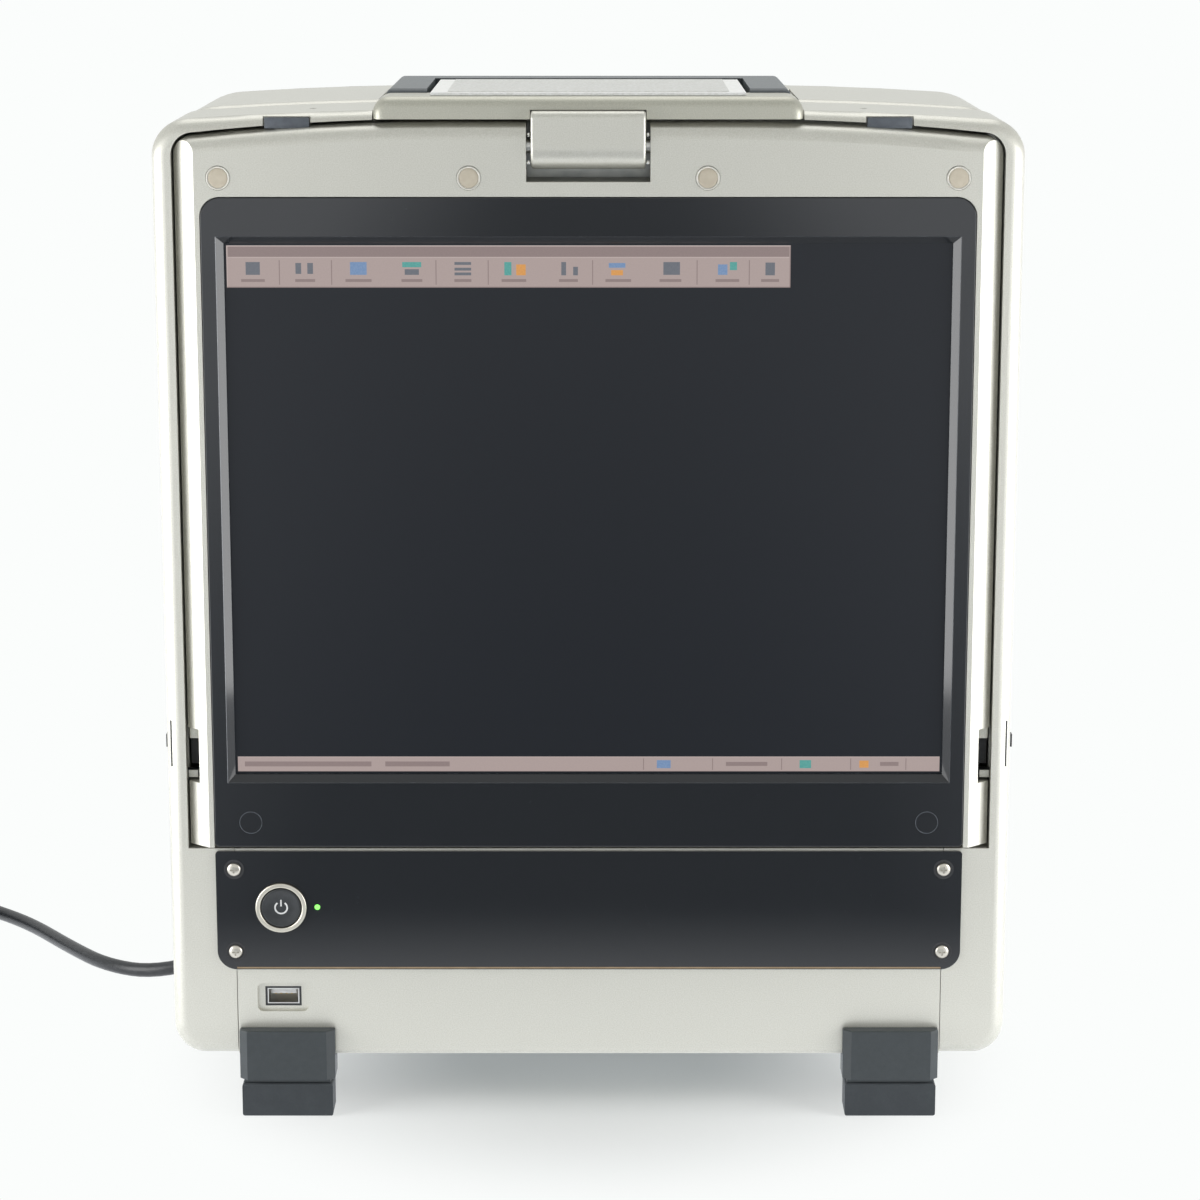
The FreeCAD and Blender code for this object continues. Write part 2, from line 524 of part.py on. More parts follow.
def top_bar():
    """The pillow-shaped silver bar in front and the deck behind it, one moulding."""
    x = ("-bar_half", "bar_half")
    bar = block("bar_block", x, ("-bar_front", "-bar_back"), ("bar_low", "bar_top"))
    ends = rounded("bar_ends", bar, "bar_end_round",
                   lambda e: runs(e, "y") and lies(e, z=value("bar_top")))
    softened = rounded("bar_front_round", ends, "bar_round",
                       lambda e: lies(e, y=value("-bar_front")) and not lies(e, z=value("bar_low")))
    deck = block("deck_block", ("-deck_half", "deck_half"), ("-bar_back - past", "deck_back"),
                 ("bed_floor + seam", "bar_top"))
    hollow = block("deck_hollow", ("-deck_half + wall", "deck_half - wall"),
                   ("-bar_back + wall", "deck_back - wall"), ("bed_floor", "bar_top - wall / 2"))
    seat = block("hinge_seat", ("-hinge_block_half - seam", "hinge_block_half + seam"),
                 ("-bar_front - past", "-hinge_y + hinge_radius + seam"),
                 ("bar_low - past", "hinge_block_top + seam"))
    pins = rod("deck_pin_bore", "x", "handle_pin_radius", ("-deck_half - past", "-handle_y", "handle_z"),
               "2 * (deck_half + past)")
    whole = join("bar_and_deck", softened, deck)
    node("top_bar", cut("top_bar_cut", whole, hollow, seat, pins))


def top_plate():
    """The light ribbed plate on the bar and deck."""
    body = new_body("top_plate_body")
    sides = rectangle("-deck_half", "deck_half", "-plate_front", "deck_back")
    pad(body, "plate_sheet", "XY", sides, "bar_top + rest_gap", "bar_top + rest_gap + plate_thick")
    rib = rectangle("-deck_half + rib_margin", "deck_half - rib_margin", "-plate_front + rib_start",
                    "-plate_front + rib_start + rib_wide")
    ridge = pad(body, "rib", "XY", rib, "bar_top + rest_gap + plate_thick",
                "bar_top + rest_gap + plate_thick + rib_tall")
    row = body.newObject("PartDesign::LinearPattern", "ribs")
    row.Originals = [ridge]
    row.Direction = (ridge.Profile[0], ["V_Axis"])
    row.setExpression("Occurrences", bound("rib_count"))
    row.setExpression("Length", bound("(rib_count - 1) * rib_pitch"))
    body.Tip = row
    doc.recompute()
    node("top_plate", body)


def handle():
    """The folding bail: two arms and a grip, one moulding, on two pins."""
    bottom, top = "handle_z - arm_tall / 2", "handle_z + arm_tall / 2"
    x = ("handle_half - arm_wide", "handle_half")
    arm = block("arm_block", x, ("-handle_y", "grip_front + past"), (bottom, top))
    eye = rod("arm_eye", "x", "arm_tall / 2", ("handle_half - arm_wide", "-handle_y", "handle_z"), "arm_wide")
    grip = block("grip_block", ("-handle_half", "handle_half"), ("grip_front", "grip_front + grip_deep"),
                 (bottom, top))
    right = join("right_arm", arm, eye)
    whole = join("handle_whole", right, mirror("left_arm", right), grip)
    refined = doc.addObject("Part::Refine", "handle_refined")
    refined.Source = whole
    soft = rounded("handle_outer_round", refined, "handle_round",
                   lambda e: (runs(e, "x") and lies(e, y=value("grip_front + grip_deep")))
                   or (runs(e, "y") and (lies(e, x=value("handle_half")) or lies(e, x=value("-handle_half"))))
                   or (runs(e, "z") and lies(e, y=value("grip_front + grip_deep"))))
    bore = rod("handle_bore", "x", "handle_pin_radius + running_gap",
               ("-handle_half - past", "-handle_y", "handle_z"), "2 * (handle_half + past)")
    node("carry_handle", cut("carry_handle_cut", soft, bore))


def handle_pins():
    """Two steel pins from the deck's sides into the arms."""
    start = "deck_half - wall"
    pin = rod("handle_pin", "x", "handle_pin_radius", (start, "-handle_y", "handle_z"), "handle_pin_long")
    node("handle_pins", both("handle_pins_pair", pin))


def lower_front():
    """The centre panel under the display, with the sill and the socket well."""
    body = new_body("lower_front_panel_body")
    front = "-frame_front"
    face = rectangle("-panel_half", "panel_half", "case_base", "sill_top")
    pad(body, "panel_face", "XZ", face, front, f"{front} + sill_deep")
    inner = rectangle("-panel_half + wall", "panel_half - wall", "case_base + wall", "sill_top - wall")
    pocket(body, "panel_hollow", "XZ", inner, f"{front} + wall", f"{front} + sill_deep + past")
    dress(body, "panel_low_round", "Fillet", "panel_round",
          lambda e: runs(e, "x") and lies(e, y=value(front), z=value("case_base")))
    well = soft_rectangle("-usb_x - usb_well_wide / 2", "-usb_x + usb_well_wide / 2",
                          "usb_z - usb_well_tall / 2", "usb_z + usb_well_tall / 2",
                          "usb_well_corner", "usb_well_corner")
    pocket(body, "usb_well", "XZ", well, f"{front} - past", f"{front} + usb_well_deep")
    mouth = rectangle("-usb_x - usb_wide / 2 - fit_gap", "-usb_x + usb_wide / 2 + fit_gap",
                      "usb_z - usb_tall / 2 - fit_gap", "usb_z + usb_tall / 2 + fit_gap")
    pocket(body, "usb_mouth", "XZ", mouth, f"{front} - past", f"{front} + wall + past")
    node("lower_front_panel", cut("lower_front_panel_cut", body, *control_holes("panel", front, "wall"),
                                  *strip_screw_holes("panel")))


def control_holes(owner, front, thick):
    """Holes for the button's ring and the small lamp through the panel or the strip."""
    start, deep = f"{front} - past", f"{thick} + 2 * past"
    return [rod(owner + "_button_hole", "y", "ring_outer + fit_gap", ("-button_x", start, "button_z"), deep),
            rod(owner + "_led_hole", "y", "led_radius + fit_gap", ("-led_x", start, "button_z"), deep)]


def fascia():
    """The glossy control strip with its holes, and its four pan head screws."""
    body = new_body("fascia_plate_body")
    back = "-frame_front - rest_gap"
    front = f"{back} - strip_thick"
    shape = soft_rectangle("-strip_half", "strip_half", "strip_low", "strip_high", "strip_high_corner",
                           "strip_corner")
    pad(body, "strip_sheet", "XZ", shape, front, back)
    holes = control_holes("strip", front, "strip_thick")
    screws = []
    for name, side in SIDES:
        for level in ("low", "high"):
            tag = f"{name}_{level}"
            x, z = f"{side} * strip_screw_x", f"strip_screw_{level}"
            holes.append(rod("strip_screw_hole_" + tag, "y", "strip_screw_shank + rest_gap",
                             (x, f"{front} - past", z), "strip_thick + 2 * past"))
            head = cone("strip_screw_head_" + tag, "y", "strip_screw_face", "strip_screw_head",
                        (x, f"{front} - strip_screw_head_tall", z), "strip_screw_head_tall")
            shank = rod("strip_screw_shank_" + tag, "y", "strip_screw_shank", (x, front, z),
                        "strip_screw_long")
            socket = rod("strip_screw_socket_" + tag, "y", "screw_socket",
                         (x, f"{front} - strip_screw_head_tall - past", z), "screw_socket_deep + past")
            screws.append(cut("strip_screw_" + tag, join("strip_screw_whole_" + tag, head, shank), socket))
    node("fascia_plate", cut("fascia_plate_cut", body, *holes))
    node("fascia_screws", group("fascia_screws_group", *screws))


def power_button():
    """Bright ring, sprung cap, the switch behind it and the small lamp beside it."""
    face = "-frame_front - rest_gap - strip_thick"
    x, z = "-button_x", "button_z"
    ring_long = "ring_proud + strip_thick + wall"
    rim = rod("ring_rim", "y", "ring_outer", (x, f"{face} - ring_proud", z), ring_long)
    bore = rod("ring_hole", "y", "ring_bore", (x, f"{face} - ring_proud - past", z),
               f"{ring_long} + 2 * past")
    node("power_button_ring", rounded("ring_soft", cut("ring_cut", rim, bore), "ring_round",
                                      lambda e: lies(e, y=value(f"{face} - ring_proud"))))
    front = f"{face} - button_proud"
    cap = rod("button_cap", "y", "button_radius", (x, front, z), "button_tall")
    soft = rounded("button_soft", cap, "button_round", lambda e: lies(e, y=value(front)))
    stem = rod("button_stem", "y", "button_stem", (x, f"{front} + button_tall - past", z),
               "button_stem_long + past")
    node("power_button", join("power_button_whole", soft, stem))
    rest = f"{front} + button_tall + button_stem_long + button_travel + seam"
    case = block("switch_body", (f"{x} - switch_half", f"{x} + switch_half"), (rest, f"{rest} + switch_deep"),
                 (f"{z} - switch_half", f"{z} + switch_half"))
    tall = (f"{z} - bracket_tall / 2", f"{z} + bracket_tall / 2")
    behind = (f"{rest} + switch_deep", f"{rest} + switch_deep + bracket_thick")
    bridge = block("switch_bridge", (f"{x} - bracket_half", f"{x} + bracket_half"), behind, tall)
    posts = [block("switch_post_" + tag, (low, high), ("-frame_front + wall + seam", behind[1]), tall)
             for tag, low, high in (("left", f"{x} - bracket_half", f"{x} - bracket_half + bracket_thick"),
                                    ("right", f"{x} + bracket_half - bracket_thick", f"{x} + bracket_half"))]
    node("power_switch", join("power_switch_whole", case, bridge, *posts))
    lens = rod("led_lens", "y", "led_radius", ("-led_x", f"{face} - led_proud", z),
               "strip_thick + wall + past")
    node("status_led", rounded("led_soft", lens, "led_round", lambda e: lies(e,
                                                                             y=value(f"{face} - led_proud"))))


def usb_socket():
    """Metal shell with its contact tongue, set in the well of the lower panel."""
    front = "-frame_front + usb_well_deep + fit_gap"
    x = ("-usb_x - usb_wide / 2", "-usb_x + usb_wide / 2")
    z = ("usb_z - usb_tall / 2", "usb_z + usb_tall / 2")
    floor = f"{front} + usb_deep - 2"
    outer = block("usb_outer", x, (front, f"{front} + usb_deep"), z)
    inner = block("usb_inner", (f"{x[0]} + sheet_thin", f"{x[1]} - sheet_thin"), (f"{front} - past", floor),
                  (f"{z[0]} + sheet_thin", f"{z[1]} - sheet_thin"))
    node("usb_shell", cut("usb_shell_cut", outer, inner))
    tongue = block("tongue", ("-usb_x - tongue_wide / 2", "-usb_x + tongue_wide / 2"),
                   (f"{floor} - fit_gap - tongue_deep", f"{floor} - fit_gap"),
                   ("usb_z + tongue_up", "usb_z + tongue_up + tongue_tall"))
    node("usb_tongue", tongue)


def display_frame():
    """The silver housing of the display: bevelled sides, round top edge, notch for the hinge."""
    body = new_body("display_frame_body")
    front, back = "-display_front", "-display_back"
    shape = arched("display_half", "display_base", "display_top", "display_crown", "display_corner")
    pad(body, "housing_block", "XZ", shape, front, back)
    dress(body, "housing_top_round", "Fillet", "display_round",
          lambda e: lies(e, y=value(front)) and e.BoundBox.ZMin > value("display_top - 12"))
    for name, side in SIDES:
        edge = [("display_face_half", f"{front} - past"), ("display_half + past", f"{front} - past"),
                ("display_half + past", f"{front} + bevel_deep + past"),
                ("display_half", f"{front} + bevel_deep"),
                ("display_face_half", f"{front}")]
        if side < 0:
            edge = [(f"-({x})", y) for x, y in reversed(edge)]
        pocket(body, name + "_bevel", "XY", edge, "display_base - past", "display_top + past")
    seat = soft_rectangle("-bezel_half - fit_gap", "bezel_half + fit_gap", "display_base - 12",
                          "bezel_top + fit_gap", "bezel_corner", "bezel_low_corner")
    pocket(body, "bezel_seat", "XZ", seat, f"{front} - past", f"{front} + bezel_thick + fit_gap")
    tray = rectangle("-bezel_half + tray_inset", "bezel_half - tray_inset", "display_base + display_wall",
                     "bezel_top - tray_inset")
    pocket(body, "screen_tray", "XZ", tray, f"{front} + bezel_thick", f"{back} - display_wall")
    notch = rectangle("-notch_half", "notch_half", "notch_low", "display_top + past")
    pocket(body, "hinge_notch", "XZ", notch, f"{front} - past", f"{back} + past")
    for name, side in SIDES:
        left, right = span(side, "notch_half - past", "notch_half + knuckle_wide + fit_gap")
        seat = rectangle(left, right, "hinge_z - knuckle_low - fit_gap", "hinge_z + knuckle_high + fit_gap")
        pocket(body, name + "_knuckle_seat", "XZ", seat, f"{front} + display_wall", f"{back} + past")
        left, right = span(side, "notch_half + knuckle_wide + display_wall",
                           "display_half - band_hollow_inset")
        hollow = rectangle(left, right, "bezel_top + display_wall", "display_top - band_hollow_top")
        pocket(body, name + "_band_hollow", "XZ", hollow, f"{front} + bezel_thick", f"{back} + past")
        left, right = span(side, "latch_in", "display_half + past")
        recess = rectangle(left, right, "latch_low", "latch_high")
        pocket(body, name + "_latch_recess", "XZ", recess, f"{front} - past", f"{back} + past")
    caps = [rod(f"cap_hole_{tag}", "y", "cap_radius + fit_gap", (x, f"{front} - past", "cap_z"),
                "cap_tall + past")
            for tag, x in cap_places()]
    node("display_frame", cut("display_frame_cut", body, *caps))


def cap_places():
    """Names and places in X of the four round caps over the housing screws."""
    return [(f"{name}_{place}", f"{side} * cap_{place}_x") for name,
            side in SIDES for place in ("outer", "inner")]


def bezel():
    """The glossy black face with the bevelled window for the screen, and the small round covers."""
    body = new_body("display_bezel_body")
    front = "-display_front"
    shape = soft_rectangle("-bezel_half", "bezel_half", "display_base + seam", "bezel_top", "bezel_corner",
                           "bezel_low_corner")
    pad(body, "bezel_sheet", "XZ", shape, front, f"{front} + bezel_thick")
    dress(body, "bezel_edge_round", "Fillet", "bezel_edge", lambda e: lies(e, y=value(front)))
    half = "screen_wide / 2 + screen_margin"
    window = rectangle(f"-({half})", half, "screen_mid - screen_tall / 2 - screen_margin",
                       "screen_mid + screen_tall / 2 + screen_margin")
    pocket(body, "window", "XZ", window, f"{front} - past", f"{front} + bezel_thick + past")
    inner = value(f"{half} + seam")
    dress(body, "window_slope", "Chamfer", "window_bevel",
          lambda e: lies(e, y=value(front)) and max(abs(e.BoundBox.XMin), abs(e.BoundBox.XMax)) < inner)
    holes = [rod(f"plug_hole_{name}", "y", "plug_radius + fit_gap",
                 (f"{side} * plug_x", f"{front} - past", "plug_z"),
                 "plug_tall + past") for name, side in SIDES]
    node("display_bezel", cut("display_bezel_cut", body, *holes))
    plugs = [rod(f"plug_{name}", "y", "plug_radius", (f"{side} * plug_x", f"{front} + rest_gap", "plug_z"),
                 "plug_tall - 2 * rest_gap") for name, side in SIDES]
    node("bezel_plugs", group("bezel_plugs_group", *plugs))
    caps = [rod("screw_cap_" + tag, "y", "cap_radius", (x, f"{front} - cap_proud", "cap_z"), "cap_tall")
            for tag, x in cap_places()]
    node("screw_caps", group("screw_caps_group", *caps))


def screen():
    """The glass, the panel module behind it and the two boards on its back."""
    front = "-display_front + bezel_thick + rest_gap"
    half = "screen_wide / 2 + module_margin"
    low, high = "screen_mid - screen_tall / 2 - module_margin", "screen_mid + screen_tall / 2 + module_margin"
    x = (f"-({half})", half)
    node("lcd_screen", block("screen_glass", x, (front, f"{front} + glass_thick"), (low, high)))
    module_front = f"{front} + glass_thick + rest_gap"
    module_back = f"{module_front} + module_thick"
    node("lcd_module", block("screen_module", x, (module_front, module_back), (low, high)))
    board = (f"{module_back} + fit_gap", f"{module_back} + fit_gap + board_thick")
    driver = block("driver_sheet", ("-driver_half", "driver_half"), board,
                   ("screen_mid - driver_tall / 2", "screen_mid + driver_tall / 2"))
    chip = block("driver_chip", ("-chip_wide / 2", "chip_wide / 2"), (board[1], f"{board[1]} + chip_tall"),
                 ("screen_mid - chip_wide / 2", "screen_mid + chip_wide / 2"))
    node("lcd_driver_board", join("lcd_driver_board_whole", driver, chip))
    strip = block("inverter_sheet", ("inverter_x", "inverter_x + inverter_long"), board,
                  ("inverter_z", "inverter_z + inverter_tall"))
    coil = block("inverter_coil", ("inverter_x + inverter_tall", "inverter_x + 2 * inverter_tall"),
                 (board[1], f"{board[1]} + coil_tall"),
                 ("inverter_z + wall", "inverter_z + inverter_tall - wall"))
    node("backlight_inverter", join("backlight_inverter_whole", strip, coil))


def hinge():
    """The fixed block and bracket, the pin, and the display's two knuckles."""
    y, z = "-hinge_y", "hinge_z"
    body = new_body("hinge_block_body")
    nose = [(f"{y} - hinge_radius", z, "hinge_radius"), (y, f"{z} - hinge_radius", "hinge_radius"),
            (f"{y} + hinge_radius", z), (f"{y} + hinge_radius", "hinge_block_top"),
            (f"{y} - hinge_radius + hinge_brow", "hinge_block_top", "hinge_brow"),
            (f"{y} - hinge_radius", "hinge_block_top - hinge_brow")]
    pad(body, "block_profile", "YZ", nose, "-hinge_block_half", "hinge_block_half")
    dress(body, "block_ends", "Fillet", "hinge_end_round",
          lambda e: lies(e, x=value("hinge_block_half")) or lies(e, x=value("-hinge_block_half")))
    bore = rod("block_bore", "x", "hinge_pin_radius + press_gap", ("-hinge_block_half - past", y, z),
               "2 * (hinge_block_half + past)")
    node("hinge_block", cut("hinge_block_cut", body, bore))
    node("hinge_pin", rod("pin", "x", "hinge_pin_radius", ("-hinge_pin_half", y, z), "2 * hinge_pin_half"))
    foot = ("-plate_y - fit_gap - plate_steel", "-plate_y - fit_gap")
    arm = block("bracket_arm", ("-bracket_arm_half", "bracket_arm_half"),
                (f"{y} + hinge_radius + rest_gap", foot[1]),
                (f"{z} - bracket_arm_tall / 2", f"{z} + bracket_arm_tall / 2"))
    flange = block("bracket_flange", ("-bracket_foot_half", "bracket_foot_half"), foot,
                   (f"{z} - bracket_arm_tall", "chassis_top"))
    node("hinge_bracket", join("hinge_bracket_whole", arm, flange))
    knuckle = block("knuckle", ("notch_half + seam", "notch_half + knuckle_wide"),
                    ("-display_front + display_wall + fit_gap", "-display_back - seam"),
                    (f"{z} - knuckle_low", f"{z} + knuckle_high"))
    hole = rod("knuckle_bore", "x", "hinge_pin_radius + running_gap", ("notch_half", y, z),
               "knuckle_wide + past")
    node("hinge_knuckles", both("hinge_knuckles_pair", cut("knuckle_cut", knuckle, hole)))


def display_lock():
    """Keepers on the display and a sliding lever with its hook in each side."""
    keeper = block("keeper", ("latch_in + seam", "display_half - seam"),
                   ("-keeper_front", "-display_back - seam"), ("keeper_low", "keeper_high"))
    node("latch_keepers", both("latch_keepers_pair", keeper))
    inner = "lever_inner"
    outer = f"{inner} + lever_plate"
    behind = "-frame_back + seam + wall + past"
    bar = ("hook_low", "hook_low + hook_tall")
    knob_z = ("lever_slot_low + 0.5", "lever_slot_low + knob_tall")
    hook = block("hook", ("latch_in + 4 * seam", outer), ("-hook_front", "-hook_front + hook_thick"), bar)
    plate = block("lever_bar", (inner, outer), ("-hook_front", f"{behind} + lever_plate"), bar)
    cross = block("lever_cross", (inner, "stem_outer"), (behind, f"{behind} + lever_plate"),
                  ("hook_low", knob_z[1]))
    stem = block("lever_stem", ("stem_inner", "stem_outer"), ("-frame_back - seam", f"{behind} + past"),
                 knob_z)
    knob = block("lever_knob", ("frame_half + 2 * fit_gap", "shell_half + knob_proud"),
                 ("-frame_back - knob_deep", "-frame_back - fit_gap"), knob_z)
    lever = join("lever_whole", hook, plate, cross, stem, knob)
    node("right_lock_lever", lever)
    node("left_lock_lever", mirror("left_lock_lever_twin", lever))


def foot_screw_y(end):
    """The place in Y of a foot's screw: in its inner half."""
    side = "-1" if end == "front" else "1"
    return f"{side} * (foot_front - foot_deep + foot_screw_in)"


def feet():
    """Four two-part feet: a dark block under the case and a rubber sole."""
    soles = []
    for end, outer, front, back, lip, shy in (
            ("front", "-foot_front", "-foot_front", "-foot_front + foot_deep",
             ("-foot_front", "-frame_front - fit_gap"),
             ("-foot_front + foot_face", "-foot_front + foot_deep + past")),
            ("rear", "foot_front", "foot_front - foot_deep", "foot_front",
             ("rear_face + fit_gap", "foot_front"),
             ("foot_front - foot_deep - past", "foot_front - foot_face"))):
        x = ("foot_inner", "foot_outer")
        level = "sole_tall + sole_groove"
        upper = block(end + "_foot_upper", x, (front, back), (level, "case_base - rest_gap"))
        riser = block(end + "_foot_riser", x, lip, (level, "foot_top"))
        refined = doc.addObject("Part::Refine", end + "_foot_refined")
        refined.Source = join(end + "_foot_raised", upper, riser)
        bevelled = bevel(end + "_foot_bevel", refined, "foot_bevel",
                         lambda e: runs(e, "z") and lies(e, y=value(outer)))
        soft = rounded(end + "_foot_soft", bevelled, "foot_round",
                       lambda e: lies(e, z=value("foot_top")) and not lies(e, y=value("frame_front")))
        neck = block(end + "_foot_neck", ("foot_inner + foot_neck", "foot_outer - foot_neck"),
                     (f"{front} + foot_neck", f"{back} - foot_neck"),
                     ("sole_tall + rest_gap", f"{level} + past"))
        hole = rod(end + "_foot_hole", "z", "foot_screw_radius + rest_gap",
                   ("foot_middle", foot_screw_y(end), "sole_tall - past"), "case_base")
        relief = block(end + "_foot_relief", ("foot_inner - past", "foot_inner + foot_relief"), shy,
                       ("-past", "case_base + past"))
        drilled = cut(end + "_foot_cut", join(end + "_foot_block", soft, neck), hole, relief)
        node(end + "_feet", both(end + "_feet_pair", drilled))
        sole = block(end + "_sole", ("foot_inner + foot_step", "foot_outer - foot_step"),
                     (f"{front} + foot_step / 2", f"{back} - foot_step / 2"), ("0", "sole_tall"))
        sole_soft = rounded(end + "_sole_soft", sole, "sole_round", lambda e: not runs(e, "z"))
        stepped = cut(end + "_sole_stepped", sole_soft, relief)
        soles += [stepped, mirror(end + "_sole_twin", stepped)]
    node("foot_soles", group("foot_soles_group", *soles))


# Screws of the rear cover: name, place in X and place in Z.
REAR_SCREWS = [
    ("low_left", "-rear_screw_x", "rear_screw_low"), ("low_right", "rear_screw_x", "rear_screw_low"),
    ("mid_left", "-rear_screw_x", "rear_screw_mid"), ("mid_right", "rear_screw_x", "rear_screw_mid"),
    ("high_left", "-rear_screw_high_x", "rear_screw_high"),
    ("high_right", "rear_screw_high_x", "rear_screw_high"),
]


def case_screws():
    """Four screws up through the feet and six pan head screws in the rear cover."""
    screws = []
    for end in ("front", "rear"):
        screw = rod(end + "_foot_screw", "z", "foot_screw_radius",
                    ("foot_middle", foot_screw_y(end), "sole_tall + rest_gap"),
                    "case_base - sole_tall + 2 * wall")
        screws += [screw, mirror(end + "_foot_screw_twin", screw)]
    for tag, x, z in REAR_SCREWS:
        face = "rear_face + rest_gap"
        head = cone("rear_screw_head_" + tag, "y", "strip_screw_head", "strip_screw_face", (x, face, z),
                    "strip_screw_head_tall")
        shank = rod("rear_screw_shank_" + tag, "y", "strip_screw_shank",
                    (x, f"{face} + past - rear_screw_long", z), "rear_screw_long")
        socket = rod("rear_screw_socket_" + tag, "y", "screw_socket",
                     (x, f"{face} + strip_screw_head_tall - screw_socket_deep", z),
                     "screw_socket_deep + past")
        screws.append(cut("rear_screw_" + tag, join("rear_screw_whole_" + tag, head, shank), socket))
    node("case_screws", group("case_screws_group", *screws))


def bottom_cover():
    """The base sheet between the side covers, with vent slots and the feet's holes."""
    plate = block("base_sheet", ("-panel_half", "panel_half"),
                  ("-frame_front + sill_deep + seam", "rear_face - rear_thick - seam"),
                  ("case_base", "case_base + wall"))
    through = ("case_base - past", "case_base + wall + past")
    tools = []
    for index in range(int(value("base_vent_count"))):
        low = f"base_vent_y + {index} * base_vent_pitch"
        tools.append(block(f"base_vent_{index}", ("-base_vent_half", "base_vent_half"),
                           (low, f"{low} + base_vent_wide"), through))
    for end in ("front", "rear"):
        for name, side in SIDES:
            tools.append(rod(f"base_hole_{end}_{name}", "z", "foot_screw_radius + rest_gap",
                             (f"{side} * foot_middle", foot_screw_y(end), through[0]), "wall + 2 * past"))
    node("bottom_cover", cut("bottom_cover_cut", plate, *tools))


def inner_chassis():
    """The upright plate behind the display and the shelf that carries the upper units."""
    body = new_body("front_chassis_plate_body")
    front = "-plate_y"
    shape = arched("plate_half", "sill_top + seam", "chassis_top", "display_crown", "display_corner")
    pad(body, "chassis_upper", "XZ", shape, front, f"{front} + plate_steel")
    lower = rectangle("-panel_half + wall", "panel_half - wall", "case_base + wall + seam", "sill_top + wall")
    pad(body, "chassis_lower", "XZ", lower, front, f"{front} + plate_steel")
    node("front_chassis_plate", body)
    back = "rear_inside"
    behind = "-frame_back + 2 * seam"
    start = f"{front} + plate_steel + fit_gap"
    level = ("shelf_z", "shelf_z + plate_steel")
    inner = ("-panel_half + wall", "panel_half - wall")
    flat = block("shelf_flat", ("-shelf_half", "shelf_half"), (behind, back), level)
    apron = block("shelf_apron", inner, (start, f"{behind} + past"), level)
    lip = block("shelf_lip", inner, (start, f"{start} + plate_steel"), ("shelf_z", "shelf_z + shelf_lip"))
    legs = [block(f"shelf_leg_{name}", span(side, "shelf_half - plate_steel", "shelf_half"), (behind, back),
                  ("case_base + wall + fit_gap", "shelf_z + past")) for name, side in SIDES]
    node("chassis_shelf", join("chassis_shelf_whole", flat, apron, lip, *legs))


def boards():
    """Main board with its cooler and the posts that carry it."""
    face = "-plate_y + plate_steel + rest_gap"
    rear = f"{face} + standoff_long + rest_gap"
    front = f"{rear} + board_thick"
    sheet_piece = block("main_sheet", ("-main_half", "main_half"), (rear, front), ("main_low", "main_high"))
    memory = block("main_memory", ("memory_x", "memory_x + memory_thick"), (front, f"{front} + memory_tall"),
                   ("memory_low", "memory_low + memory_long"))
    chip = block("main_chip", ("-main_chip_x", "-main_chip_x + main_chip"), (front, f"{front} + chip_tall"),
                 ("main_chip_z", "main_chip_z + main_chip"))
    node("main_board", join("main_board_whole", sheet_piece, memory, chip))
    posts = []
    for name, side in SIDES:
        for level, z in (("low", "main_low + post_inset"), ("high", "main_high - post_inset")):
            posts.append(rod(f"standoff_{name}_{level}", "y", "standoff_radius",
                             (f"{side} * (main_half - post_inset)", face, z), "standoff_long"))
    node("board_standoffs", group("board_standoffs_group", *posts))
    base = f"{front} + fit_gap"
    z = ("sink_low", "sink_low + sink_tall")
    plate = block("sink_plate", ("-sink_half", "sink_half"), (base, f"{base} + sink_base"), z)
    fins = []
    for index in range(int(value("fin_count"))):
        left = f"-sink_half + {index} * (2 * sink_half - fin_thick) / (fin_count - 1)"
        fins.append(block(f"sink_fin_{index}", (left, f"{left} + fin_thick"),
                          (f"{base} + sink_base / 2", f"{base} + sink_deep"), z))
    node("heatsink", join("heatsink_whole", plate, *fins))


def lower_units():
    """Hard disk and power supply on the base."""
    floor = "case_base + wall + seam"
    node("hard_disk", block("disk_block", ("-disk_x", "-disk_x + disk_long"),
                            ("-units_front", "-units_front + disk_wide"),
                            (floor, f"{floor} + disk_tall")))
    case = block("supply_case", ("-supply_x", "-supply_x + supply_wide"),
                 ("-units_front", "-units_front + supply_deep"), (floor, f"{floor} + supply_tall"))
    slots = []
    for index in range(int(value("supply_slots"))):
        left = f"-supply_x + {index + 1} * supply_slot_pitch"
        slots.append(block(f"supply_slot_{index}", (left, f"{left} + supply_slot_wide"),
                           ("-supply_slot_long / 2", "supply_slot_long / 2"),
                           (f"{floor} + supply_tall - wall", f"{floor} + supply_tall + past")))
    node("power_supply", cut("power_supply_cut", case, *slots))


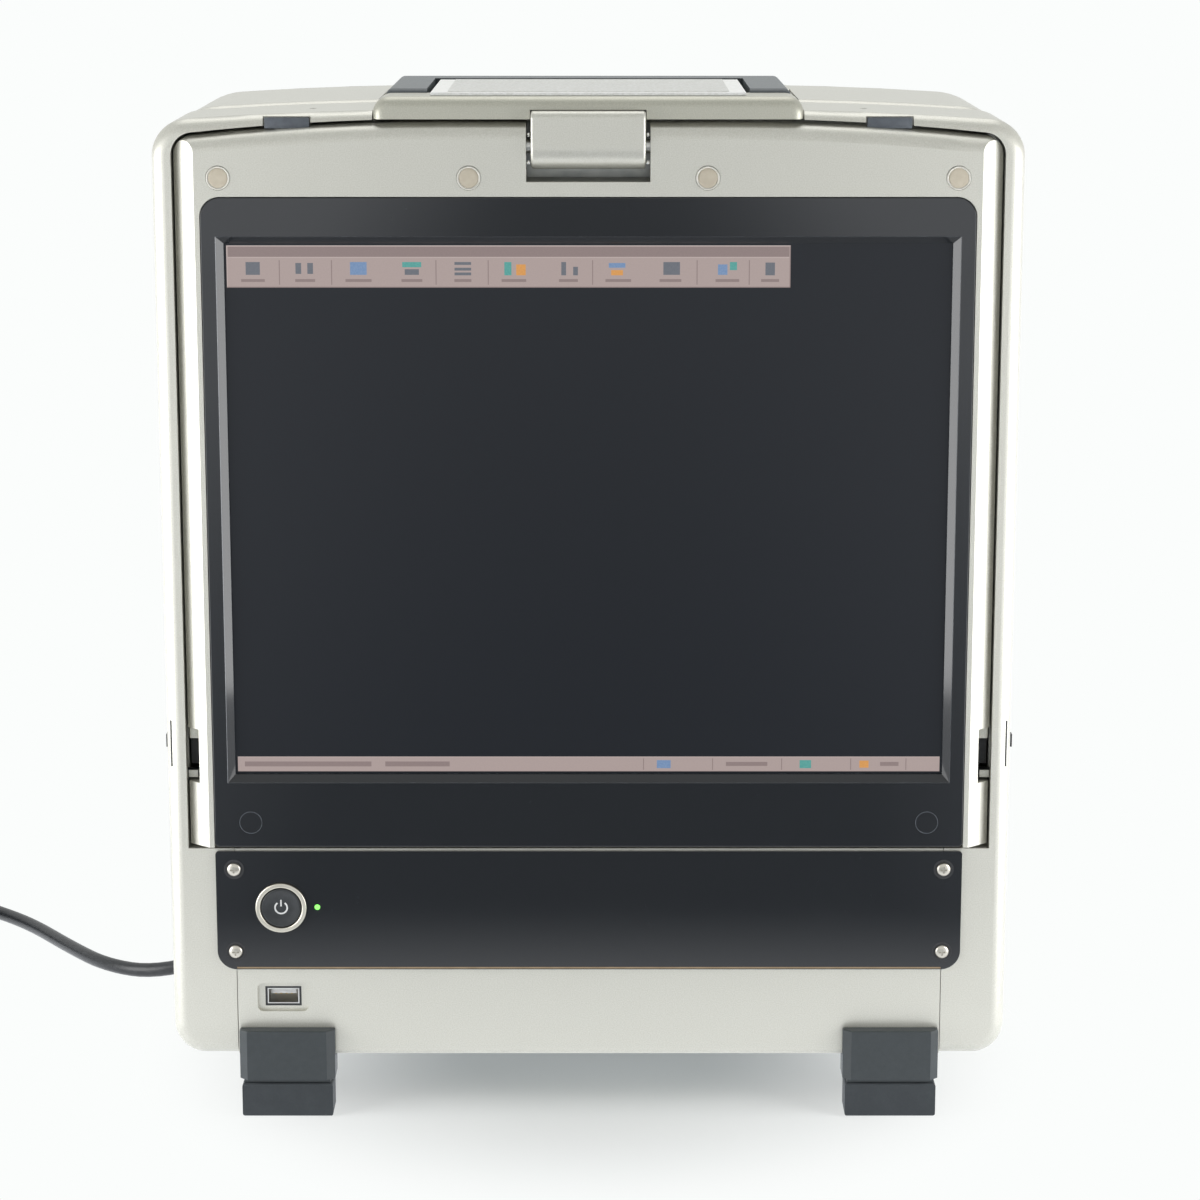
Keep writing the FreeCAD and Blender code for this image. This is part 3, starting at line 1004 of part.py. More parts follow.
def light_source():
    """Lamp, reflector and housing on the shelf, and the port for the light guide."""
    sheet_metal = "plate_steel"
    floor = f"shelf_z + {sheet_metal} + fit_gap"
    top = "lamp_z + lamp_case_half"
    x = ("lamp_x - lamp_case_half", "lamp_x + lamp_case_half")
    y = ("lamp_case_front", "rear_face + port_proud - port_long + wall")
    outer = block("lamp_case_outer", x, y, (floor, top))
    inner = block("lamp_case_inner", (f"{x[0]} + {sheet_metal}", f"{x[1]} - {sheet_metal}"),
                  (f"{y[0]} + {sheet_metal}", f"{y[1]} - {sheet_metal}"),
                  (f"{floor} + {sheet_metal}", f"{top} - {sheet_metal}"))
    hole = rod("lamp_case_hole", "y", "port_outer + seam", ("lamp_x", f"{y[1]} - wall", "lamp_z"), "2 * wall")
    node("lamp_house", cut("lamp_house_cut", outer, inner, hole))
    holder_y = f"{y[0]} + {sheet_metal} + fit_gap"
    holder = rod("lamp_holder", "y", "holder_radius", ("lamp_x", holder_y, "lamp_z"), "holder_long")
    bulb = rod("lamp_bulb", "y", "lamp_radius", ("lamp_x", f"{holder_y} + holder_long - past", "lamp_z"),
               "lamp_long + past")
    node("lamp", join("lamp_whole", holder, bulb))
    start = f"{holder_y} + holder_long + fit_gap"
    outside = cone("reflector_outside", "y", "reflector_throat", "reflector_radius",
                   ("lamp_x", start, "lamp_z"),
                   "reflector_deep")
    inside = cone("reflector_inside", "y", "reflector_throat - reflector_thick",
                  "reflector_radius - reflector_thick",
                  ("lamp_x", start, "lamp_z"), "reflector_deep")
    foot = block("reflector_foot", ("lamp_x - reflector_foot / 2", "lamp_x + reflector_foot / 2"),
                 (f"{start} + reflector_deep - 2 * wall", f"{start} + reflector_deep - wall"),
                 (f"{floor} + {sheet_metal} + fit_gap", "lamp_z - reflector_radius + 2 * wall"))
    node("lamp_reflector", cut("lamp_reflector_cut", join("lamp_reflector_whole", outside, foot), inside))
    port_y = "rear_face + port_proud - port_long"
    tube = rod("port_tube", "y", "port_outer", ("lamp_x", port_y, "lamp_z"), "port_long")
    flange = rod("port_flange_disc", "y", "port_flange", ("lamp_x", "rear_face + rest_gap", "lamp_z"),
                 "port_flange_thick")
    bore = rod("port_hole", "y", "port_bore", ("lamp_x", f"{port_y} - past", "lamp_z"),
               "port_long + 2 * past")
    node("light_guide_port", cut("light_guide_port_cut", join("port_whole", tube, flange), bore))


def fan_blade():
    """One twisted blade from the hub to the tip."""
    sections = []
    for place in ("root", "tip"):
        radius = value("hub_radius - hub_cap") if place == "root" else value("blade_tip")
        turn = math.radians(value(f"blade_{place}_pitch"))
        chord, thick = value(f"blade_{place}_chord"), value("blade_thick")
        across, deep = math.cos(turn) * chord / 2, math.sin(turn) * chord / 2
        nose, tail = FreeCAD.Vector(-across, -deep, radius), FreeCAD.Vector(across, deep, radius)
        normal = FreeCAD.Vector(-math.sin(turn), math.cos(turn), 0)
        middle = normal * value("blade_camber") + FreeCAD.Vector(0, 0, radius)
        edge = normal * thick / 2
        top = Part.Arc(nose + edge, middle + edge * 2, tail + edge).toShape()
        low = Part.Arc(tail - edge, middle - edge, nose - edge).toShape()
        trailing = Part.makeLine(tail + edge, tail - edge)
        leading = Part.makeLine(nose - edge, nose + edge)
        sections.append(Part.Wire([top, trailing, low, leading]))
    return Part.makeLoft(sections, True, True)


def cooling_fan():
    """Square frame, turning rotor and the round wire guard outside."""
    x, z = "-fan_x", "fan_z"
    back = "rear_inside"
    front = f"{back} - fan_deep"
    half = "fan_size / 2"
    square = block("fan_square", (f"{x} - {half}", f"{x} + {half}"), (front, back),
                   (f"{z} - {half}", f"{z} + {half}"))
    throat = rod("fan_throat", "y", "fan_bore", (x, f"{front} - past", z), "fan_deep + 2 * past")
    motor = rod("fan_motor", "y", "hub_radius - hub_lip", (x, front, z), "motor_long")
    strut_y = (front, f"{front} + wall")
    reach = "fan_bore + past"
    struts = [block("fan_strut_upright", (f"{x} - strut_wide / 2", f"{x} + strut_wide / 2"), strut_y,
                    (f"{z} - {reach}", f"{z} + {reach}")),
              block("fan_strut_level", (f"{x} - {reach}", f"{x} + {reach}"), strut_y,
                    (f"{z} - strut_wide / 2", f"{z} + strut_wide / 2"))]
    shaft = rod("fan_shaft", "y", "shaft_radius", (x, f"{front} + motor_long - past", z), "hub_long - wall")
    node("fan_frame", join("fan_frame_whole", cut("fan_frame_cut", square, throat), motor, *struts, shaft))
    along, centre = FreeCAD.Vector(0, 1, 0), FreeCAD.Vector()
    hub = Part.makeCylinder(value("hub_radius"), value("hub_long"), centre, along)
    blades = []
    for index in range(int(value("blade_count"))):
        blade = fan_blade()
        blade.translate(along * value("hub_long / 2"))
        blade.rotate(centre, along, index * 360 / value("blade_count"))
        blades.append(blade)
    limit = Part.makeCylinder(value("blade_tip"), value("fan_deep"),
                              along * value("-(fan_deep - hub_long) / 2"), along)
    bore = Part.makeCylinder(value("shaft_radius + running_gap"), value("hub_long - hub_cap"), centre, along)
    rotor = doc.addObject("Part::Feature", "fan_rotor_shape")
    rotor.Shape = hub.multiFuse(blades).common(limit).cut(bore)
    for letter, place in zip("xyz", (x, f"{front} + motor_long + 2 * seam", z)):
        rotor.setExpression("Placement.Base." + letter, bound(place))
    node("fan_rotor", rotor)
    guard_y = "rear_face + guard_wire / 2 + rest_gap"
    wires = []
    for index in range(int(value("guard_rings"))):
        ring = doc.addObject("Part::Torus", f"guard_ring_{index}")
        ring.Placement.Rotation = TURNS["y"]
        ring.setExpression("Radius1", bound(f"fan_bore - guard_wire - {index} * guard_pitch"))
        ring.setExpression("Radius2", bound("guard_wire / 2"))
        for letter, place in zip("xyz", (x, guard_y, z)):
            ring.setExpression("Placement.Base." + letter, bound(place))
        wires.append(ring)
    long = "2 * (fan_bore + guard_reach)"
    level = rod("guard_level", "x", "guard_wire / 2", (f"{x} - fan_bore - guard_reach", guard_y, z), long)
    upright = rod("guard_upright", "z", "guard_wire / 2", (x, guard_y, f"{z} - fan_bore - guard_reach"), long)
    node("fan_guard", join("fan_guard_whole", *wires, level, upright))


def rear_cover():
    """The back panel with the fan opening, the vents and the openings for the sockets."""
    body = shell_block("rear_cover", "rear_face - rear_thick", "rear_face")
    dress(body, "rear_edge_round", "Fillet", "rear_round", lambda e: lies(e, y=value("rear_face")))
    start, deep = "rear_face - rear_thick - past", "rear_thick + 2 * past"
    through = (start, "rear_face + past")
    tools = [rod(f"rear_{name}_opening", "y", radius, (x, start, z), deep)
             for name, radius, x, z in (
                 ("fan", "fan_bore", "-fan_x", "fan_z"),
                 ("port", "port_outer + fit_gap", "lamp_x", "lamp_z"),
                 ("camera", "camera_socket_radius + fit_gap", "camera_socket_x", "camera_socket_z"))]
    tools.append(block("rear_inlet_opening",
                       ("-inlet_x - inlet_wide / 2 - fit_gap", "-inlet_x + inlet_wide / 2 + fit_gap"),
                       through,
                       ("inlet_z - inlet_tall / 2 - fit_gap", "inlet_z + inlet_tall / 2 + fit_gap")))
    for index in range(int(value("socket_count"))):
        left = f"socket_x + {index} * socket_pitch"
        tools.append(block(f"rear_socket_opening_{index}",
                           (f"{left} - fit_gap", f"{left} + socket_wide + fit_gap"),
                           through, ("socket_z - fit_gap", "socket_z + socket_tall + fit_gap")))
    for index in range(int(value("rear_vent_count"))):
        low = f"rear_vent_z + {index} * rear_vent_pitch"
        tools.append(block(f"rear_vent_{index}", ("rear_vent_x", "rear_vent_x + rear_vent_long"), through,
                           (low, f"{low} + rear_vent_tall")))
    for tag, x, z in REAR_SCREWS:
        tools.append(rod("rear_screw_hole_" + tag, "y", "strip_screw_shank + rest_gap", (x, start, z), deep))
    node("rear_cover", cut("rear_cover_cut", body, *tools))


def inlet_pins(name, grow, front, back):
    """The three flat contacts of the mains inlet, or the holes for them in the connector."""
    return [block(f"{name}_{tag}", (f"-inlet_x + {across} * contact_pitch - contact_thick / 2 - {grow}",
                                    f"-inlet_x + {across} * contact_pitch + contact_thick / 2 + {grow}"),
                                    (front, back),
                  (f"inlet_z + {up} - contact_tall / 2 - {grow}",
                   f"inlet_z + {up} + contact_tall / 2 + {grow}"))
            for tag, across, up in (("line", -1, "-contact_drop"), ("neutral", 1, "-contact_drop"),
                                    ("earth", 0, "contact_drop"))]


def rear_sockets():
    """Mains inlet, a row of data sockets and the round socket for the camera lead."""
    x = ("-inlet_x - inlet_wide / 2", "-inlet_x + inlet_wide / 2")
    z = ("inlet_z - inlet_tall / 2", "inlet_z + inlet_tall / 2")
    face = "rear_face + rest_gap"
    front = f"{face} + inlet_flange_thick"
    well_floor = f"{front} - inlet_well_deep"
    shell = block("inlet_shell", x, ("rear_face - inlet_deep", face), z)
    flange = block("inlet_flange_plate", (f"{x[0]} - inlet_flange", f"{x[1]} + inlet_flange"), (face, front),
                   (f"{z[0]} - inlet_lip", f"{z[1]} + inlet_lip"))
    well = block("inlet_well", (f"{x[0]} + inlet_wall", f"{x[1]} - inlet_wall"),
                 (well_floor, f"{front} + past"),
                 (f"{z[0]} + inlet_wall", f"{z[1]} - inlet_wall"))
    pins = inlet_pins("inlet_contact", "0", f"{well_floor} - past", "rear_face - past")
    node("mains_inlet", join("mains_inlet_whole", cut("mains_inlet_cut", join("inlet_body", shell, flange),
                                                      well), *pins))
    sockets = []
    for index in range(int(value("socket_count"))):
        left = f"socket_x + {index} * socket_pitch"
        outer = block(f"socket_outer_{index}", (left, f"{left} + socket_wide"),
                      ("rear_face - socket_deep", "rear_face + socket_proud"),
                      ("socket_z", "socket_z + socket_tall"))
        inner = block(f"socket_inner_{index}", (f"{left} + sheet_thin", f"{left} + socket_wide - sheet_thin"),
                      ("rear_face - socket_well", "rear_face + socket_proud + past"),
                      ("socket_z + sheet_thin", "socket_z + socket_tall - sheet_thin"))
        sockets.append(cut(f"socket_{index}", outer, inner))
    node("data_sockets", group("data_sockets_group", *sockets))
    x, z = "camera_socket_x", "camera_socket_z"
    start = "rear_face - camera_socket_deep"
    ring = rod("camera_ring", "y", "camera_socket_radius", (x, start, z),
               "camera_socket_deep + camera_socket_proud")
    collar = rod("camera_collar", "y", "camera_collar", (x, face, z), "inlet_flange_thick")
    hole = rod("camera_hole", "y", "camera_socket_bore", (x, f"{start} + wall", z),
               "camera_socket_deep + camera_socket_proud")
    core = rod("camera_core", "y", "camera_core", (x, start, z), "camera_socket_deep")
    body = cut("camera_socket_cut", join("camera_body", ring, collar), hole)
    node("camera_socket", join("camera_socket_whole", body, core))


def speaker():
    """The small speaker on the wall of the left side cover."""
    x = "-shell_half + wall + seam"
    rim = rod("speaker_rim", "x", "speaker_radius", (x, "speaker_y", "speaker_z"), "speaker_rim")
    basket = cone("speaker_basket", "x", "speaker_radius - speaker_rim", "speaker_radius / 2",
                  (f"{x} + speaker_rim", "speaker_y", "speaker_z"), "speaker_deep")
    magnet = rod("speaker_magnet", "x", "speaker_magnet", (f"{x} + speaker_deep", "speaker_y", "speaker_z"),
                 "2 * speaker_rim")
    node("speaker", join("speaker_whole", rim, basket, magnet))


# Points of the mains lead, from the connector's sleeve to the coil.
CORD_ROUTE = [
    (-155, 103, 38), (-180, 104, 12), (-216, 100, 3.7), (-242, 112, 3.7), (-265, 142, 3.7),
    (-292, 182, 3.7), (-320, 209, 3.7), (-345.2, 235.6, 3.7),
]
CORD_SHARE = 0.45


def smooth_path(points):
    """Straight runs joined by tangent arcs, each as large as its two runs allow."""
    points = [FreeCAD.Vector(*point) for point in points]
    edges, radii, here = [], [], points[0]
    for before, corner, after in zip(points, points[1:], points[2:]):
        way_in, way_out = (corner - before).normalize(), (after - corner).normalize()
        turn = way_in.getAngle(way_out)
        trim = CORD_SHARE * min((corner - before).Length, (after - corner).Length)
        radii.append(trim / math.tan(turn / 2))
        first, last = corner - way_in * trim, corner + way_out * trim
        inward = (way_out - way_in).normalize()
        sagitta = radii[-1] / math.cos(turn / 2) - radii[-1]
        edges.append(Part.LineSegment(here, first).toShape())
        edges.append(Part.Arc(first, corner + inward * sagitta, last).toShape())
        here = last
    edges.append(Part.LineSegment(here, points[-1]).toShape())
    return Part.Wire(edges), radii


def power_cord():
    """The free run of the mains lead on the table and its coil."""
    radius = value("cord_diameter / 2")
    wire, radii = smooth_path(CORD_ROUTE)
    start = FreeCAD.Vector(*CORD_ROUTE[0])
    direction = (FreeCAD.Vector(*CORD_ROUTE[1]) - start).normalize()
    circle = Part.Wire([Part.makeCircle(radius, start, direction)])
    tube = wire.makePipeShell([circle], True, False)
    print("cord radii", [round(number, 1) for number in radii])
    print("cord length", round(wire.Length, 1), "volume ratio",
          round(tube.Volume / (math.pi * radius ** 2 * wire.Length), 4))
    lead = doc.addObject("Part::Feature", "power_cord_shape")
    lead.Shape = tube
    node("power_cord", lead)
    mid, wide = "coil_mid / 2", "coil_turns_wide * cord_diameter"
    tall = "coil_turns_tall * cord_diameter"
    outer = rod("coil_outer", "z", f"{mid} + {wide} / 2", ("-coil_x", "coil_y", "fit_gap"), tall)
    inner = rod("coil_inner", "z", f"{mid} - {wide} / 2", ("-coil_x", "coil_y", "fit_gap - past"),
                f"{tall} + 2 * past")
    node("cord_coil", cut("cord_coil_cut", outer, inner))
    return start, direction


def cord_connector(start, direction):
    """The moulded connector in the mains inlet, with the sleeve that the lead leaves from."""
    y, z = "rear_face + rest_gap + inlet_flange_thick + fit_gap", "inlet_z"
    body = block("connector_body", ("-inlet_x - connector_half", "-inlet_x + connector_half"),
                 (y, f"{y} + connector_long"), (f"{z} - connector_tall / 2", f"{z} + connector_tall / 2"))
    reach = "inlet_wide / 2 - inlet_wall - 2 * seam"
    rise = "inlet_tall / 2 - inlet_wall - 2 * seam"
    nose = block("connector_nose", (f"-inlet_x - ({reach})", f"-inlet_x + {reach}"),
                 (f"{y} - connector_nose", f"{y} + past"), (f"{z} - ({rise})", f"{z} + {rise}"))
    holes = inlet_pins("connector_hole", "2 * fit_gap", f"{y} - connector_nose - past", "rear_face")
    shaped = cut("connector_cut", join("connector_whole", body, nose), *holes)
    long = value("sleeve_long")
    sleeve = doc.addObject("Part::Feature", "connector_sleeve")
    sleeve.Shape = Part.makeCone(value("sleeve_radius"), value("cord_diameter / 2 + sleeve_lip"), long,
                                 start - direction * long, direction)
    node("cord_connector", join("cord_connector_whole", shaped, sleeve))


def mains_plug():
    """The moulded plug at the far end, on the table beside the coil."""
    x, half = "-coil_x - plug_x_from_coil", "plug_body_wide / 2"
    middle = "fit_gap + plug_body_tall / 2"
    tail_y = "coil_y - plug_tail_y"
    back = f"{tail_y} - plug_tail_long"
    front = f"{back} - plug_body_long"
    shank = block("mains_plug_body", (f"{x} - {half}", f"{x} + {half}"), (front, back),
                  ("fit_gap", "fit_gap + plug_body_tall"))
    soft = rounded("mains_plug_soft", shank, "plug_round", lambda e: True)
    tail = cone("mains_plug_tail", "y", "plug_tail_wide", "plug_tail_end", (x, f"{back} - past", middle),
                "plug_tail_long + past")
    blades = [block(f"plug_blade_{name}", (f"{x} + {side} * plug_blade_x - plug_blade / 2",
                                           f"{x} + {side} * plug_blade_x + plug_blade / 2"),
                    (f"{front} - plug_blade_long", f"{front} + past"),
                    (f"{middle} - plug_blade_low", f"{middle} - plug_blade_low + plug_blade_tall"))
              for name, side in SIDES]
    pin = rod("plug_earth_pin", "y", "plug_pin",
              (x, f"{front} - plug_blade_long - wall", f"{middle} + plug_pin_up"),
              "plug_blade_long + wall + past")
    node("mains_plug", join("mains_plug_complete", soft, tail, *blades, pin))


def export():
    """Check every object, then write one file for each piece."""
    doc.recompute()
    for item in doc.Objects:
        if "Invalid" in item.State or "Error" in item.State:
            raise ValueError(f"{item.Label}: {item.State}")
    for label, item in PARTS:
        if item.Shape.isNull() or not item.Shape.isValid() or not item.Shape.Solids:
            raise ValueError(f"{label} has no valid solid")
    for label, item in PARTS:
        item.Shape.exportStep(f"parts/{label}.step")
    print(len(PARTS), "pieces")


front_frame()
side_covers()
top_cover()
top_bar()
top_plate()
handle()
handle_pins()
lower_front()
fascia()
power_button()
usb_socket()
display_frame()
bezel()
screen()
hinge()
display_lock()
feet()
case_screws()
bottom_cover()
inner_chassis()
boards()
lower_units()
light_source()
cooling_fan()
rear_cover()
rear_sockets()
speaker()
cord_start, cord_direction = power_cord()
cord_connector(cord_start, cord_direction)
mains_plug()
export()
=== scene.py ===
import json
import math

import bmesh
import bpy
from mathutils import Matrix, Vector


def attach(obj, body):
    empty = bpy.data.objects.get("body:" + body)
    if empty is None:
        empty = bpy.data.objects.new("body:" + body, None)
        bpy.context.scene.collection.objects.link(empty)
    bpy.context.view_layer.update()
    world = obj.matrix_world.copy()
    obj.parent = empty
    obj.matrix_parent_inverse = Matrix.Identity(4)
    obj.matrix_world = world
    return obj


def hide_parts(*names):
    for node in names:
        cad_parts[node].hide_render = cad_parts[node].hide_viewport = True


# Main unit of a digital microscope: satin silver painted case, piano black face, lit display.
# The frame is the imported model, in metres; sizes below are in millimetres unless they say so.

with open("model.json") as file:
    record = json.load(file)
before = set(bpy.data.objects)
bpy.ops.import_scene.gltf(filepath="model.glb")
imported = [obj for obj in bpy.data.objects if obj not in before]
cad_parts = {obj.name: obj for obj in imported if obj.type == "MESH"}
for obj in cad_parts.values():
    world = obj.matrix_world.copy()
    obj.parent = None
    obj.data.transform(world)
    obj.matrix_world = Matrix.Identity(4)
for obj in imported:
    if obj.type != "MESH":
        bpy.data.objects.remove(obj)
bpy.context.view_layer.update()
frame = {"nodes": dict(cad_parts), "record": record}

MM = 0.001
X, Y, Z = Vector((1, 0, 0)), Vector((0, 1, 0)), Vector((0, 0, 1))
# Where the camera stands, in metres, and how far it is turned up from looking straight down, in degrees.
CAMERA_PLACE = (0.0049, -1.508, 0.5349)
CAMERA_TILT = 78
SENSOR, LENS = 36, 101.6


def make_camera():
    """A long lens at the height and tilt that the screen's four corners and the feet give."""
    bpy.ops.object.camera_add(location=CAMERA_PLACE, rotation=(math.radians(CAMERA_TILT), 0, 0))
    camera = bpy.context.object
    camera.name = "studio_camera"
    camera.data.sensor_width = SENSOR
    camera.data.lens = LENS
    bpy.context.scene.camera = camera
    bpy.context.scene.view_settings.view_transform = "Standard"


# The lead's way over the table in millimetres, as the tube in the frame has it.
CORD_ROUTE = [
    (-155, 103, 38), (-180, 104, 12), (-216, 100, 3.7), (-242, 112, 3.7), (-265, 142, 3.7),
    (-292, 182, 3.7), (-320, 209, 3.7), (-345.2, 235.6, 3.7),
]
CORD_DIAMETER = 7
COIL_CENTRE = (-375, 206)
COIL_OUTER, COIL_INNER = 42, 35
COIL_START = math.atan2(CORD_ROUTE[-1][1] - COIL_CENTRE[1], CORD_ROUTE[-1][0] - COIL_CENTRE[0])
COIL_POINTS = 16
CHANGE_FROM = 0.9  # the share of a turn after which it goes over to the next place
# Radius and height of the centre line in each turn, from the table up.
COIL_TURNS = [(COIL_OUTER, 3.7), (COIL_INNER, 3.7), (COIL_OUTER, 10.7), (COIL_INNER, 10.7),
              (COIL_OUTER, 17.7), (COIL_INNER, 17.7), (COIL_OUTER, 24.7)]
# The last part of a turn comes down outside the coil: how far out, and how high, at each point.
COIL_END = [(2.7, 24.3), (5.5, 22.3), (7.2, 19.4), (7.7, 16.2), (7.7, 13.4), (7.7, 11.5)]
CORD_END = [(-424.7, 196, 11.2), (-424.7, 184, 11.2), (-424.7, 172, 11.2)]


def coil_points():
    """Turns beside and on each other; each changes place in the last part of its round."""
    points = []
    whole = (len(COIL_TURNS) - 1) * COIL_POINTS
    spread = 1 / math.cos(math.pi / COIL_POINTS)
    for step in range(1, whole + len(COIL_END) + 1):
        turn, part = divmod(step / COIL_POINTS, 1)
        radius, height = COIL_TURNS[int(turn)]
        if part > CHANGE_FROM and step < whole:
            share = (part - CHANGE_FROM) / (1 - CHANGE_FROM)
            after = COIL_TURNS[int(turn) + 1]
            radius += (after[0] - radius) * share
            height += (after[1] - height) * share
        if step > whole:
            out, height = COIL_END[step - whole - 1]
            radius += out
        angle = COIL_START + 2 * math.pi * step / COIL_POINTS
        points.append((COIL_CENTRE[0] + radius * spread * math.cos(angle),
                       COIL_CENTRE[1] + radius * spread * math.sin(angle), height))
    return points


def spline_length(obj):
    """Length in metres of the line that a curve object draws."""
    copy = obj.copy()
    copy.data = obj.data.copy()
    copy.data.bevel_depth = 0
    mesh = bpy.data.meshes.new_from_object(copy)
    ends = [[mesh.vertices[corner].co for corner in edge.vertices] for edge in mesh.edges]
    length = sum((first - second).length for first, second in ends)
    bpy.data.objects.remove(copy)
    bpy.data.meshes.remove(mesh)
    return length


def make_cord():
    """Black mains lead: out of the connector, along the table and into its coil."""
    points = [*CORD_ROUTE, *coil_points(), *CORD_END]
    curve = bpy.data.curves.new("mains_lead", "CURVE")
    curve.dimensions = "3D"
    curve.resolution_u = 6
    curve.bevel_depth = 1  # times each point's radius, so that the curve's own box stays true
    curve.bevel_resolution = 5
    curve.use_fill_caps = True
    spline = curve.splines.new("NURBS")
    spline.points.add(len(points) - 1)
    for place, point in zip(spline.points, points):
        place.co = (*(Vector(point) * MM), 1)
        place.radius = CORD_DIAMETER / 2 * MM
    spline.order_u = 3
    spline.use_endpoint_u = True
    lead = bpy.data.objects.new("mains_lead", curve)
    bpy.context.collection.objects.link(lead)
    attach(lead, "case")
    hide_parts("power_cord", "cord_coil")
    round(spline_length(lead), 3)
    return lead


make_camera()
mains_lead = make_cord()


def linear(hex_colour):
    """An sRGB hex colour as linear red, green, blue and alpha."""
    parts = [int(hex_colour[i:i + 2], 16) / 255 for i in (1, 3, 5)]
    return (*(c / 12.92 if c <= 0.04045 else ((c + 0.055) / 1.055) ** 2.4 for c in parts), 1)


def add(tree, kind, inputs=None, **settings):
    """A shader node with its settings, its values and its links."""
    made = tree.nodes.new("ShaderNode" + kind)
    for name, setting in settings.items():
        setattr(made, name, setting)
    for key, source in (inputs or {}).items():
        if isinstance(source, bpy.types.NodeSocket):
            tree.links.new(source, made.inputs[key])
        else:
            made.inputs[key].default_value = source
    return made


def new_material(name, colour, **values):
    """A named material with its Principled shader's plain values set."""
    material = bpy.data.materials.new(name)
    material.use_nodes = True
    tree = material.node_tree
    shader = tree.nodes["Principled BSDF"]
    shader.inputs["Base Color"].default_value = linear(colour)
    for key, setting in values.items():
        shader.inputs[key.replace("_", " ")].default_value = setting
    return material, tree, shader


def scale_of(size_mm):
    """Noise scale, per metre, for a pattern whose grains are about this large."""
    return 1 / (size_mm * MM)


def mottle(tree, shader, first, second, size_mm, low=0.35, high=0.65, detail=3.0):
    """Vary the colour between two tones in patches of a real size."""
    place = add(tree, "TexCoord").outputs["Object"]
    noise = add(tree, "TexNoise", {"Vector": place, "Scale": scale_of(size_mm), "Detail": detail})
    spread = add(tree, "MapRange", {"Value": noise.outputs["Fac"], "From Min": low, "From Max": high})
    mix = add(tree, "Mix", {"Factor": spread.outputs["Result"], "A": linear(first), "B": linear(second)},
              data_type="RGBA")
    tree.links.new(mix.outputs["Result"], shader.inputs["Base Color"])
    return place


def grain(tree, shader, place, size_mm, height_mm, rough=None):
    """A fine relief of a real grain size and height, and the unevenness of gloss that goes with it."""
    noise = add(tree, "TexNoise", {"Vector": place, "Scale": scale_of(size_mm)})
    bump = add(tree, "Bump", {"Height": noise.outputs["Fac"], "Distance": height_mm * MM, "Strength": 1.0})
    tree.links.new(bump.outputs["Normal"], shader.inputs["Normal"])
    if rough:
        gloss = add(tree, "MapRange", {"Value": noise.outputs["Fac"],
                                       "To Min": rough[0], "To Max": rough[1]})
        tree.links.new(gloss.outputs["Result"], shader.inputs["Roughness"])


def satin_silver_paint(name, first, second):
    """Warm silver metallic paint sprayed on moulded ABS: fine flakes, soft sheen, even tone."""
    material, tree, shader = new_material(name, first, Metallic=0.55, Roughness=0.4)
    place = mottle(tree, shader, first, second, 0.5)
    grain(tree, shader, place, 0.35, 0.012, rough=(0.36, 0.46))
    return material


def ribbed_aluminium():
    """Light satin plate on the handle bed: bead blasted, clear finish."""
    material, tree, shader = new_material("satin_aluminium_plate", "#E9E9E6", Metallic=0.6, Roughness=0.42)
    place = mottle(tree, shader, "#E4E4E0", "#EFEFED", 1.2)
    grain(tree, shader, place, 0.4, 0.015, rough=(0.38, 0.5))
    return material


def piano_black():
    """Polished black acrylic: deep, mirror smooth, with the faintest haze of dust and wiping."""
    material, tree, shader = new_material("piano_black_acrylic", "#1A1D21", Roughness=0.06, IOR=1.49)
    place = add(tree, "TexCoord").outputs["Object"]
    haze = add(tree, "TexNoise", {"Vector": place, "Scale": scale_of(60), "Detail": 4.0})
    gloss = add(tree, "MapRange", {"Value": haze.outputs["Fac"], "To Min": 0.04, "To Max": 0.12})
    tree.links.new(gloss.outputs["Result"], shader.inputs["Roughness"])
    specks = add(tree, "TexVoronoi", {"Vector": place, "Scale": scale_of(9)})
    dust = add(tree, "MapRange", {"Value": specks.outputs["Distance"], "From Min": 0.02, "From Max": 0.035})
    mix = add(tree, "Mix", {"Factor": dust.outputs["Result"], "A": linear("#303337"),
                            "B": linear("#1A1D21")}, data_type="RGBA")
    tree.links.new(mix.outputs["Result"], shader.inputs["Base Color"])
    return material


def moulded_plastic(name, first, second, grain_mm=0.7, rough=(0.42, 0.6)):
    """Injection moulded plastic: spark eroded grain, with fine patches of tone and of gloss."""
    material, tree, shader = new_material(name, first, Roughness=0.5)
    place = mottle(tree, shader, first, second, 2.5)
    grain(tree, shader, place, grain_mm, 0.04, rough=rough)
    return material


def rubber(name, first, second):
    """Moulded rubber: matt, a little greyed by handling."""
    material, tree, shader = new_material(name, first, Roughness=0.75)
    place = mottle(tree, shader, first, second, 9, 0.4, 0.7, 5.0)
    grain(tree, shader, place, 0.9, 0.05, rough=(0.62, 0.82))
    return material


def screen_glass():
    """Matt front of a lit liquid crystal panel that shows black: backlight glow, no sharp reflection."""
    material, tree, shader = new_material("anti_glare_screen", "#101318", Roughness=0.32, IOR=1.38,
                                          Emission_Strength=1.0)
    place = add(tree, "TexCoord").outputs["Object"]
    glow = add(tree, "TexNoise", {"Vector": place, "Scale": scale_of(220), "Detail": 1.0})
    mix = add(tree, "Mix", {"Factor": glow.outputs["Fac"], "A": linear("#06080C"), "B": linear("#090C11")},
              data_type="RGBA")
    tree.links.new(mix.outputs["Result"], shader.inputs["Emission Color"])
    grain(tree, shader, place, 0.3, 0.004)
    return material


